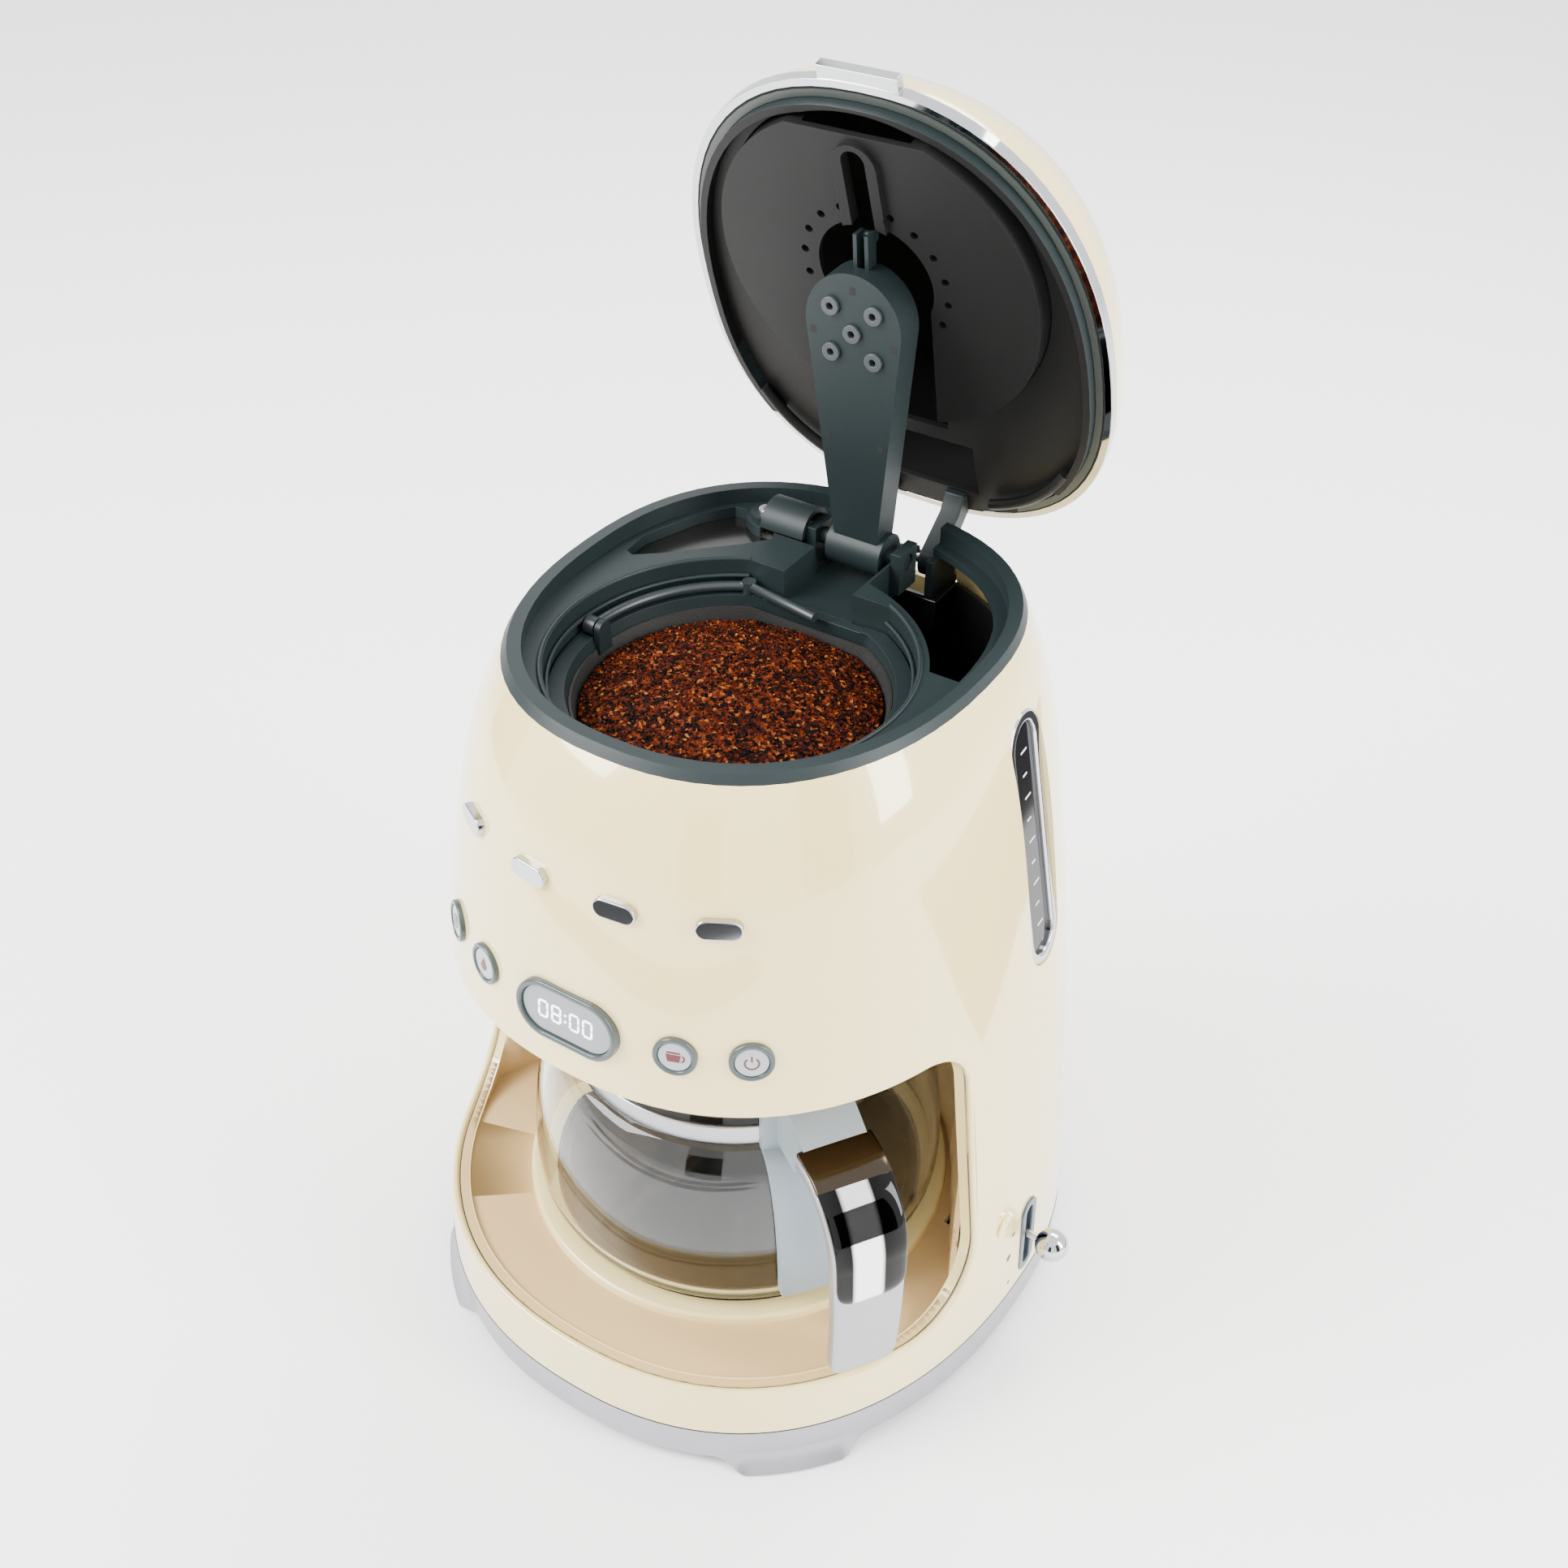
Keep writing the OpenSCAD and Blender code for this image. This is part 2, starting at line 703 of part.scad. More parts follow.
plate_low = 290.7;
slot_front = -77;
slot_back = -42;
module lid_plate() {
    color("#2c2f31") swing_lid() difference() {
        union() {
            intersection() {
                union() {
                    disc(59, plate_low, plate_low + 2.2, -27.3);
                    difference() {
                        disc(59, plate_low, lid_low + 2.4, -27.3);
                        disc(57, plate_low - 1, lid_low + 3, -27.3);
                    }
                }
                block([-70, -81, 280], [70, 60, 310]);
            }
            block([-8, slot_front + 6, plate_low - 2], [8, slot_back + 2, plate_low + 1]);
            translate([0, slot_front + 6, plate_low - 2]) cylinder(r = 8, h = 3);
        }
        block([-4.2, slot_front + 4.2, 280], [4.2, slot_back, 310]);
        translate([0, slot_front + 4.2, 280]) cylinder(r = 4.2, h = 30);
        translate([0, 0, 280]) linear_extrude(30) recess_plan(0.8);
        for (a = [20 : 20 : 340]) if (abs(a - 180) > 35)
            translate([26.5 * sin(a + 180), -28.6 + 26.5 * cos(a + 180), 280]) cylinder(r = 1.4, h = 20);
    }
}

module lid_hinge_arms() {
    color("#2f3b3e") swing_lid() for (x = [-15, 15]) difference() {
        union() {
            rod_x(6, x, 8, hinge_y, hinge_z);
            translate([x, 0, 0]) along_x(8) polygon([[hinge_y - 5.6, hinge_z - 2], [hinge_y + 5, hinge_z + 3],
                [hinge_y - 4, 291], [79, lid_low + 0.2], [70, lid_low + 0.2], [70, 295], [75, 290]]);
        }
        rod_x(2.56, x, 10, hinge_y, hinge_z);
    }
}

// ---- Shower arm, drawn upright along +Z from its pivot and then leant --------

module lean_arm() {
    translate([0, arm_y, arm_z]) rotate([arm_lean, 0, 0]) children();
}

// Extrudes an (X, Z) outline of the arm between two depths
module arm_slab(y0, y1) {
    translate([0, y1, 0]) rotate([90, 0, 0]) linear_extrude(y1 - y0) children();
}

module arm_outline(grow = 0) {
    translate([0, arm_reach + 2]) circle(18 + grow);
    polygon([[-8 - grow, 0], [8 + grow, 0], [17.9 + grow, arm_reach], [-17.9 - grow, arm_reach]]);
}

nozzle_spots = [[0, 0], [-8, 8], [8, 8], [-8, -8], [8, -8]];

module shower_arm() {
    color("#38464a") lean_arm() {
        difference() {
            arm_slab(-arm_front, arm_back) arm_outline();
            translate([-3, 0.3, 99.8]) cube([6, 7, 12]);
            arm_slab(-arm_front + 2, arm_back + 1) difference() {
                arm_outline(-2.4);
                translate([-20, -5]) square([40, 17]);
            }
            for (p = nozzle_spots) translate([p[0], 0, arm_reach + p[1]]) rotate([90, 0, 0])
                cylinder(r = 2.6, h = 20);
        }
        rod_x(8, 0, 22, 0, 0);
        rod_x(journal_r, 0, 36, 0, 0);
    }
}

module spray_nozzles() {
    color("#596468") lean_arm() for (p = nozzle_spots)
        translate([p[0], -arm_front + 2, arm_reach + p[1]]) rotate([90, 0, 0]) difference() {
            union() {
                cylinder(r = 2.6, h = 3.4);
                translate([0, 0, 2]) cylinder(r = 3.2, h = 1.4);
            }
            translate([0, 0, -1]) cylinder(r = 1.2, h = 6);
        }
}

fork_reach = 113.8;
module arm_fork() {
    color("#38464a") lean_arm() {
        for (x = [-2.8, 1.4]) translate([x, 0.5, 100]) rotate([2, 0, 0]) cube([1.4, 5, fork_reach - 98]);
        rod_x(1.6, 0, 5.6, 3 + 2.2, fork_reach);
    }
}

// ---- Filter ----------------------------------------------------------------

cup_low = 192;
module cup_cone(r0, r1, z0, z1, flat_y) {
    intersection() {
        translate([0, pot_y, z0]) cylinder(r1 = r0, r2 = r1, h = z1 - z0);
        block([-80, -120, z0 - 1], [80, flat_y, z1 + 1]);
    }
}

module filter_holder() {
    color("#303c40") {
        difference() {
            union() {
                cup_cone(40, 57, cup_low, flange_z, well_flat_y - 2.6);
                translate([0, 0, flange_z - 2.2]) linear_extrude(2.2) well_plan(-0.8);
                disc(11, bay_top + 4, cup_low + 1);
            }
            cup_cone(38, 55, cup_low + 2.5, flange_z + 0.2, well_flat_y - 4.6);
            disc(5, bay_top, cup_low + 5);
            block([-20, 15, flange_z - 0.5], [20, 40, flange_z + 1]);
            translate([0, pot_y, 0]) rod_x(3.7, -57.1, 4.6, 0, bail_z);
        }
        translate([0, pot_y, 0]) {
            block([-54.4, -3.4, flange_z - 6], [-52, 3.4, bail_z]);
            rod_x(3.4, -53.2, 2.4, 0, bail_z);
            rod_x(1.6, -56.6, 5, 0, bail_z);
        }
    }
}

mesh_top = 276;
module filter_mesh() {
    color("#b8b29c") difference() {
        cup_cone(37.4, 53.9, cup_low + 12, mesh_top, well_flat_y - 6.5);
        cup_cone(36.6, 53.1, cup_low + 12.8, mesh_top + 0.2, well_flat_y - 7.3);
        block([-56, pot_y - 4, flange_z - 6.5], [-51, pot_y + 4, flange_z]);
    }
}

grounds_low = 232;
grounds_edge = 270;
grounds_top = 282;
module coffee_grounds() {
    color("#5b2412") intersection() {
        translate([0, pot_y, 0]) rotate_extrude() polygon(concat([[0, grounds_low], [42.6, grounds_low]],
            [for (a = [0 : 15 : 90]) [51.4 * cos(a), grounds_edge + (grounds_top - grounds_edge) * sin(a)]]));
        block([-80, -120, 200], [80, well_flat_y - 7.6, 300]);
    }
}

bail_r = 57.2;
bail_rod = 1.8;
bail_bend = 117.5;
// The rod runs round the flange to the flat, bends there and stops short of the middle
module bail_handle() {
    bend = [bail_r * cos(bail_bend), pot_y + bail_r * sin(bail_bend), bail_z];
    color("#3f4d51") {
        translate([0, pot_y, bail_z]) {
            rotate([0, 0, bail_bend]) rotate_extrude(angle = 60) translate([bail_r, 0]) circle(bail_rod);
            difference() {
                rod_x(3.4, -57.1, 4.2, 0, 0);
                rod_x(1.66, -57.1, 6, 0, 0);
            }
        }
        translate(bend) cylinder(r = bail_rod + 0.7, h = 2 * bail_rod + 0.8, center = true);
        translate(bend) rotate([0, 0, -9]) rotate([0, 90, 0]) cylinder(r = bail_rod, h = 31);
    }
}

valve_low = 174;
module drip_valve() {
    color("#8d9396") {
        disc(9, valve_low, valve_low + 2.5);
        disc(3.4, valve_low + 2.5, cup_low + 4.5);
        disc(8, cup_low + 2.5, cup_low + 4.5);
    }
}

module drip_spring() {
    color("silver") translate([0, pot_y, 0]) for (k = [0 : 2])
        translate([0, 0, valve_low + 3.6 + 2.9 * k]) rotate_extrude() translate([6.4, 0]) circle(0.6);
}

// ---- Carafe ----------------------------------------------------------------

pot_low = deck_z + 2.1;
belly_z = 60;
neck_z = 124;
glass_top = 143;
handle_x = 92;

// Outside of the glass: a tight curve under the belly and a long one up to the neck
function glass_profile(t) = concat(
    [for (a = [0 : 15 : 90]) [foot_r - t + (glass_r - foot_r) * sin(a), pot_low + t + (belly_z - pot_low - t) * (1 - cos(a))]],
    [for (a = [10 : 10 : 90])
        [neck_r - t + (glass_r - neck_r) * cos(a), belly_z + (neck_z - belly_z) * sin(a)]],
    [[neck_r - t, glass_top]]);

module carafe_glass() {
    color("#dfe8e8", 0.35) translate([0, pot_y, 0]) rotate_extrude() difference() {
        polygon(concat([[0, pot_low]], glass_profile(0), [[0, glass_top]]));
        polygon(concat([[0, pot_low + glass_wall]], glass_profile(glass_wall), [[neck_r - glass_wall, glass_top + 1],
            [0, glass_top + 1]]));
    }
}

module carafe_band() {
    color("#c3c6ca") difference() {
        disc(neck_r + 1.6, neck_z, neck_z + 9);
        disc(neck_r + 0.02, neck_z - 1, neck_z + 10);
    }
}

module carafe_lid() {
    color("#9aa8b0") difference() {
        union() {
            disc(neck_r - 3, glass_top - 6, glass_top);
            disc(neck_r + 1, glass_top, glass_top + 3);
            translate([0, pot_y, glass_top + 3]) cylinder(r1 = neck_r - 3, r2 = 32, h = 24);
        }
        disc(neck_r - 5, glass_top - 7, glass_top + 1);
        translate([0, pot_y, glass_top + 1]) cylinder(r1 = neck_r - 5, r2 = 29, h = 24);
        disc(5, glass_top, glass_top + 30);
    }
}

// Places a piece drawn with +X pointing outwards along the handle
module at_handle() {
    translate([0, pot_y, 0]) rotate([0, 0, handle_angle - 90]) children();
}

// Extrudes a (radius, Z) outline of the handle to a width
module handle_slab(w) {
    at_handle() translate([0, w / 2, 0]) rotate([90, 0, 0]) linear_extrude(w) children();
}

// Saddle that hugs the glass under the handle and carries the band's ends
module handle_bracket() {
    color("#9aa8b0") difference() {
        union() {
            intersection() {
                translate([0, pot_y, 0]) rotate_extrude() polygon(concat(
                    [for (a = [0 : 10 : 90]) [neck_r + 5 + (glass_r - neck_r) * cos(a), belly_z + (neck_z - belly_z) * sin(a)]],
                    [[neck_r + 5, 158], [neck_r + 1.9, 158], [neck_r + 1.9, neck_z - 1]],
                    [for (a = [80 : -10 : 0])
                        [neck_r + 0.9 + (glass_r - neck_r) * cos(a), belly_z + (neck_z - belly_z) * sin(a)]]));
                at_handle() block([40, -17, 50], [100, 17, 160]);
            }
            handle_slab(24) polygon([[68.5, 128], [68.5, 158], [84, 151.5], [handle_x, 147.2], [handle_x, 138.6], [84, 128]]);
        }
    }
}

// Outline of the strap: over the top in a round shoulder and straight down
module strap_outline(inner, outer) {
    intersection() {
        polygon(concat([for (a = [108 : -9 : 0]) [96 + outer * cos(a), 118 + outer * sin(a)]],
            [[97 + outer, 90], [95 + outer, 53], [91 + inner, 53], [95 + inner, 90]],
            [for (a = [0 : 9 : 108]) [96 + inner * cos(a), 118 + inner * sin(a)]]));
        translate([handle_x, 0]) square(200);
    }
}

module handle_grip() {
    color("#b4b6bc") handle_slab(strap_w) strap_outline(21, 27);
}

module handle_insert() {
    color("#c9ccd0") handle_slab(strap_w - 2) intersection() {
        difference() {
            strap_outline(20, 29.5);
            strap_outline(15, 27.02);
        }
        translate([handle_x, 106]) square(60);
    }
}

housing_shell();
bay_liner();
bay_gasket();
foot_skirt();
bottom_cover();
rubber_feet();
cover_screws();
hotplate();
heater_element();
thermostat();
thermal_fuse();
water_hose();
riser_tube();
check_valve();
control_board();
display_panel();
top_deck();
water_tank();
tank_valve();
window_frame();
window_lens();
display_bezel();
display_lens();
button_bezels();
clock_button();
aroma_button();
timer_button();
power_button();
front_badges();
lever_plate();
lever_stem();
lever_ball();
cord_inlet();
hinge_bracket();
hinge_cover();
hinge_screws();
hinge_pin();
lid_dome();
lid_band();
lid_liner();
lid_plate();
lid_gasket();
lid_hinge_arms();
shower_arm();
spray_nozzles();
arm_fork();
filter_holder();
filter_mesh();
coffee_grounds();
bail_handle();
drip_valve();
drip_spring();
carafe_glass();
carafe_band();
carafe_lid();
handle_bracket();
handle_grip();
handle_insert();
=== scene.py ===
import json
import math
import random

import bmesh
import bpy
from mathutils import Matrix, Vector, noise


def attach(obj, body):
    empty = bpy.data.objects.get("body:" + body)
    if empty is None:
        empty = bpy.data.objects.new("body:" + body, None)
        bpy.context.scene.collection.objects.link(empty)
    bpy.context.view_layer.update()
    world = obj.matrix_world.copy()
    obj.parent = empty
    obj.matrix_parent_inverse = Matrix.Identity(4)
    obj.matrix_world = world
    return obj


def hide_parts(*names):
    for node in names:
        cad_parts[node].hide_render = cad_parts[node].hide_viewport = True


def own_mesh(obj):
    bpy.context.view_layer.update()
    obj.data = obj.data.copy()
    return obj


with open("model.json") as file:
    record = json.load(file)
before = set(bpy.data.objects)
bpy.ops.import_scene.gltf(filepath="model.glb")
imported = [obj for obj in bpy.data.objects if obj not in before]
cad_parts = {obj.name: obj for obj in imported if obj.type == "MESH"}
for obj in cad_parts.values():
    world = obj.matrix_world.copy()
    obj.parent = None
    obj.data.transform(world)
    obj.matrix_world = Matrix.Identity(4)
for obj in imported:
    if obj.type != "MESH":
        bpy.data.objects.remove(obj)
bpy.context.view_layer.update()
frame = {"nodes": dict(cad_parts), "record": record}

# ---- Camera ------------------------------------------------------------------
# The object is seen from above its front right corner, as a person standing at the
# counter sees it. The lens is slightly long, and the shift frames base and open lid.
view_turn, view_tilt, view_distance = math.radians(33.19), math.radians(40.57), 0.6708
look_at = Vector((0, 0, 0.180))
view_back = Vector((math.sin(view_turn) * math.cos(view_tilt),
                    -math.cos(view_turn) * math.cos(view_tilt), math.sin(view_tilt)))
camera_data = bpy.data.cameras.new("camera")
camera_data.sensor_width = 36
camera_data.lens = 40.72
camera_data.shift_x, camera_data.shift_y = 0.0069, 0.0540
camera = bpy.data.objects.new("camera", camera_data)
camera.location = look_at + view_back * view_distance
camera.rotation_mode = "QUATERNION"
camera.rotation_quaternion = (-view_back).to_track_quat("-Z", "Y")
bpy.context.scene.collection.objects.link(camera)
bpy.context.scene.camera = camera

# ---- Studio ------------------------------------------------------------------
# A white floor under soft boxes: a large one over the front left, a strip at the right
# side and one behind. Dark flags all round give the gloss and the chrome something to mirror.
floor_size = 6.0
bm = bmesh.new()
bmesh.ops.create_grid(bm, x_segments=1, y_segments=1, size=floor_size / 2)
floor_mesh = bpy.data.meshes.new("floor")
bm.to_mesh(floor_mesh)
bm.free()
floor = bpy.data.objects.new("floor", floor_mesh)
bpy.context.scene.collection.objects.link(floor)


def flat_paint(name, grey, rough):
    """A plain matt paint for the studio."""
    material = bpy.data.materials.new(name)
    material.use_nodes = True
    shader = material.node_tree.nodes["Principled BSDF"]
    shader.inputs["Base Color"].default_value = (grey, grey, grey, 1)
    shader.inputs["Roughness"].default_value = rough
    return material


floor_mesh.materials.append(flat_paint("floor_white", 0.95, 0.7))

world = bpy.data.worlds.new("studio")
bpy.context.scene.world = world
world.use_nodes = True
sky = world.node_tree.nodes["Background"]
sky.inputs["Color"].default_value = (1, 1, 1, 1)
sky.inputs["Strength"].default_value = 2.3


def soft_box(name, place, aim, width, height, power):
    """A rectangular soft box at a place, turned towards a point."""
    data = bpy.data.lights.new(name, "AREA")
    data.shape = "RECTANGLE"
    data.size, data.size_y, data.energy = width, height, power
    lamp = bpy.data.objects.new(name, data)
    lamp.location = place
    lamp.rotation_euler = (Vector(aim) - Vector(place)).to_track_quat("-Z", "Y").to_euler()
    bpy.context.scene.collection.objects.link(lamp)


body_middle = (0, 0, 0.2)
soft_box("box_front_left", (-0.9, -0.9, 1.25), body_middle, 0.9, 0.9, 60)
soft_box("box_right", (1.3, 0.15, 0.75), body_middle, 0.35, 1.1, 30)
soft_box("box_top_back", (0.1, 0.9, 1.4), (0, 0, 0.25), 1.0, 0.6, 26)


def flag(name, place, aim, width, height):
    """A black card that only reflections see."""
    bm = bmesh.new()
    bmesh.ops.create_grid(bm, x_segments=1, y_segments=1, size=0.5)
    bmesh.ops.scale(bm, verts=bm.verts, vec=(width, height, 1))
    mesh = bpy.data.meshes.new(name)
    bm.to_mesh(mesh)
    bm.free()
    card = bpy.data.objects.new(name, mesh)
    card.location = place
    card.rotation_euler = (Vector(aim) - Vector(place)).to_track_quat("-Z", "Y").to_euler()
    bpy.context.scene.collection.objects.link(card)
    mesh.materials.append(flag_black)
    card.visible_camera = card.visible_diffuse = card.visible_shadow = False


flag_black = flat_paint("flag_black", 0.01, 1.0)
flag("flag_right", (1.3, -0.5, 0.45), body_middle, 0.5, 1.4)
flag("flag_front", (0.45, -1.5, 0.4), body_middle, 0.5, 1.2)
flag("flag_left", (-1.4, -0.4, 0.3), (0, 0, 0.1), 0.6, 0.9)
flag("flag_above", (-0.75, 0.2, 1.5), (0, 0, 0.3), 0.9, 0.9)
flag("flag_floor_right", (0.50, 0.42, 0.004), (0.50, 0.42, 1), 0.42, 0.62)
flag("flag_floor_front", (-0.05, -0.56, 0.004), (-0.05, -0.56, 1), 1.0, 0.13)

# ---- Outer shell -------------------------------------------------------------
# One drawn shell, sprayed in cream and lacquered to a high gloss. It is an oval tube that
# swells towards the foot, with the carafe bay cut through its front from side to side.
MM = 0.001
skirt_top, rim_height, shell_top = 23 * MM, 296.5 * MM, 293.5 * MM
shell_wall = 2.8 * MM
front_power, rear_power = 2.27, 2.4


def girth(z, inset=0.0):
    """Half width, depth in front and depth behind of the body at a height."""
    r = max(0.0, (z - skirt_top) / (rim_height - skirt_top))
    half = (122.5 - 33 * r ** 1.5 - 10.3 * r ** 12) * MM
    front = (143.7 - 32 * r - 17.8 * r ** 12) * MM
    back = (101.3 - 9 * r ** 1.2 - 10.1 * r ** 12) * MM
    return half - inset, front - inset, back - inset


def plan_point(turn, z, inset=0.0):
    """Point of the body's outline at a share of a full turn, counted from +X."""
    half, front, back = girth(z, inset)
    c, s = math.cos(turn * math.tau), math.sin(turn * math.tau)
    power, depth = (front_power, front) if s < 0 else (rear_power, back)
    x = half * math.copysign(abs(c) ** (2 / power), c)
    return Vector((x, depth * math.copysign(abs(s) ** (2 / power), s), z))


def loft(segments, rings, place, closed=False):
    """A skin drawn out ring by ring, where place(turn, ring) gives each point. A closed one
    joins its last ring to its first."""
    bm = bmesh.new()
    turn = bm.verts.layers.float.new("turn")
    verts = bmesh.ops.create_circle(bm, segments=segments, radius=1)["verts"]
    for v in verts:
        v[turn] = (math.atan2(v.co.y, v.co.x) / math.tau) % 1
    edges = first = list(bm.edges)
    for i, ring in enumerate(rings):
        if i:
            drawn = bmesh.ops.extrude_edge_only(bm, edges=edges)["geom"]
            verts = [g for g in drawn if isinstance(g, bmesh.types.BMVert)]
            fresh = set(verts)
            edges = [g for g in drawn if isinstance(g, bmesh.types.BMEdge) and set(g.verts) <= fresh]
        for v in verts:
            v.co = place(v[turn], ring)
    if closed:
        bmesh.ops.bridge_loops(bm, edges=first + edges)
    else:
        bmesh.ops.holes_fill(bm, edges=first + edges, sides=0)
    bmesh.ops.recalc_face_normals(bm, faces=bm.faces)
    return bm


body_of = {n: b for b, ns in frame["record"]["behaviour"]["bodies"].items() for n in ns}


def to_object(name, bm):
    mesh = bpy.data.meshes.new(name)
    bm.to_mesh(mesh)
    bm.free()
    made = bpy.data.objects.new(name, mesh)
    bpy.context.scene.collection.objects.link(made)
    return made


def ease_edges(made, width, segments=2):
    """Rounds the piece's hard edges as a tool or mould leaves them."""
    bevel = made.modifiers.new("eased", "BEVEL")
    bevel.width, bevel.segments = width, segments
    bevel.limit_method, bevel.angle_limit = "ANGLE", math.radians(38)
    bevel.harden_normals = True
    level = made.modifiers.new("even", "WEIGHTED_NORMAL")
    level.keep_sharp = True


def piece(name, bm, node, material, replaces=True, edge=0.0, sharp=35, segments=2):
    """Makes the mesh an object that rides with a CAD node's body, and hides the CAD node when it
    replaces it.
    """
    made = to_object(name, bm)
    made.data.materials.append(material)
    made.data.shade_smooth()
    if sharp < 180:
        made.data.set_sharp_from_angle(angle=math.radians(sharp))
    if edge:
        ease_edges(made, edge, segments)
    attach(made, body_of[node])
    if replaces:
        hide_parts(node)
    return made


def cut(made, bm):
    """Cuts a closed mesh out of a piece and keeps the result."""
    bmesh.ops.recalc_face_normals(bm, faces=bm.faces)
    tool = to_object("cutter", bm)
    boolean = made.modifiers.new("cut", "BOOLEAN")
    boolean.operation, boolean.solver, boolean.object = "DIFFERENCE", "MANIFOLD", tool
    evaluated = made.evaluated_get(bpy.context.evaluated_depsgraph_get())
    result = bpy.data.meshes.new_from_object(evaluated)
    made.modifiers.remove(boolean)
    made.data = result
    bpy.data.objects.remove(tool)


def prism(bm, outline, axis, low, high):
    """Extrudes an outline of points along a vector from low to high."""
    verts = [bm.verts.new(Vector(p) + Vector(axis) * low) for p in outline]
    face = bm.faces.new(verts)
    drawn = bmesh.ops.extrude_face_region(bm, geom=[face])["geom"]
    moved = [g for g in drawn if isinstance(g, bmesh.types.BMVert)]
    bmesh.ops.translate(bm, verts=moved, vec=Vector(axis) * (high - low))
    return verts + moved


def arc(centre, radius, start, end, steps):
    """Points of an arc in a plane, angles in degrees."""
    angles = [math.radians(start + (end - start) * i / steps) for i in range(steps + 1)]
    return [(centre[0] + radius * math.cos(a), centre[1] + radius * math.sin(a)) for a in angles]


bay_edge, bay_floor, bay_roof = -38 * MM, 45 * MM, 180.5 * MM
bay_low_r, bay_high_r = 36 * MM, 20 * MM


def jamb(inset=0.0, steps=16):
    """Side view of the bay's edge as (y, z), from the floor round the corners to the roof."""
    low = arc((bay_edge - bay_low_r, bay_floor + bay_low_r), bay_low_r + inset, -90, 0, steps)
    high = arc((bay_edge - bay_high_r, bay_roof - bay_high_r), bay_high_r + inset, 0, 90, steps)
    return low + high


def oblong(width, height, steps=12):
    """Outline with round ends as (x, y), long side along x."""
    r = height / 2
    reach = width / 2 - r
    return arc((reach, 0), r, -90, 90, steps) + arc((-reach, 0), r, 90, 270, steps)


def face_frame(turn_deg, z, tilt=6.7):
    """Frame on the front of the shell at a turn from straight ahead; +Z points out of the face."""
    a = math.radians(turn_deg)
    half, front, _ = girth(z)
    share = abs(math.sin(a) / half) ** front_power + (math.cos(a) / front) ** front_power
    r = share ** (-1 / front_power)
    x, y = r * math.sin(a), -r * math.cos(a)
    lean = math.atan2(abs(x) ** (front_power - 1) / half ** front_power,
                      abs(y) ** (front_power - 1) / front ** front_power)
    return (Matrix.Translation((x, y, z)) @ Matrix.Rotation(math.copysign(lean, a), 4, "Z")
            @ Matrix.Rotation(math.radians(90 - tilt), 4, "X"))


window_frame_at = (Matrix.Translation((96.2 * MM, 14 * MM, 227.5 * MM))
                   @ Matrix.Rotation(math.radians(4), 4, "Z")
                   @ Matrix.Rotation(math.radians(90 - 10.7), 4, "Y"))
lever_frame_at = (Matrix.Translation((118.5 * MM, -1.5 * MM, 47 * MM))
                  @ Matrix.Rotation(math.radians(88), 4, "Y"))


def plug(bm, outline, at, low, high):
    """Adds a prism drawn along a frame's +Z."""
    axis = (at.to_3x3() @ Vector((0, 0, 1))).normalized()
    prism(bm, [at @ Vector((x, y, 0)) for x, y in outline], axis, low, high)


def textured(name, colour, rough, grain=900, bump=0.0, vary=0.05, cloud_scale=14,
             streak=(1, 1, 1), **sockets):
    """A finish whose colour and gloss wander a little and whose grain stands up slightly."""
    material = bpy.data.materials.new(name)
    material.use_nodes = True
    nodes, links = material.node_tree.nodes, material.node_tree.links
    shader = nodes["Principled BSDF"]
    for socket, value in sockets.items():
        shader.inputs[socket.replace("_", " ")].default_value = value
    coords = nodes.new("ShaderNodeTexCoord")
    place = nodes.new("ShaderNodeMapping")
    place.inputs["Scale"].default_value = streak
    links.new(coords.outputs["Object"], place.inputs["Vector"])
    cloud = nodes.new("ShaderNodeTexNoise")
    cloud.inputs["Scale"].default_value = cloud_scale
    cloud.inputs["Detail"].default_value = 4
    links.new(place.outputs["Vector"], cloud.inputs["Vector"])
    tint = nodes.new("ShaderNodeMix")
    tint.data_type = "RGBA"
    tint.inputs[6].default_value = [c * (1 - vary) for c in colour] + [1]
    tint.inputs[7].default_value = [min(1, c * (1 + vary)) for c in colour] + [1]
    links.new(cloud.outputs["Fac"], tint.inputs[0])
    links.new(tint.outputs[2], shader.inputs["Base Color"])
    gloss = nodes.new("ShaderNodeMapRange")
    gloss.inputs["To Min"].default_value = rough * 0.8
    gloss.inputs["To Max"].default_value = rough * 1.2
    links.new(cloud.outputs["Fac"], gloss.inputs["Value"])
    links.new(gloss.outputs["Result"], shader.inputs["Roughness"])
    if bump:
        pores = nodes.new("ShaderNodeTexNoise")
        pores.inputs["Scale"].default_value = grain
        pores.inputs["Detail"].default_value = 2
        links.new(place.outputs["Vector"], pores.inputs["Vector"])
        relief = nodes.new("ShaderNodeBump")
        relief.inputs["Strength"].default_value = bump
        relief.inputs["Distance"].default_value = 0.0002
        links.new(pores.outputs["Fac"], relief.inputs["Height"])
        links.new(relief.outputs["Normal"], shader.inputs["Normal"])
    return material


cream_colour = (0.82, 0.66, 0.29)
cream = textured("cream_lacquer", cream_colour, 0.16, grain=260, bump=0.02, vary=0.015,
                 Coat_Weight=1.0, Coat_Roughness=0.03, Coat_IOR=1.5)

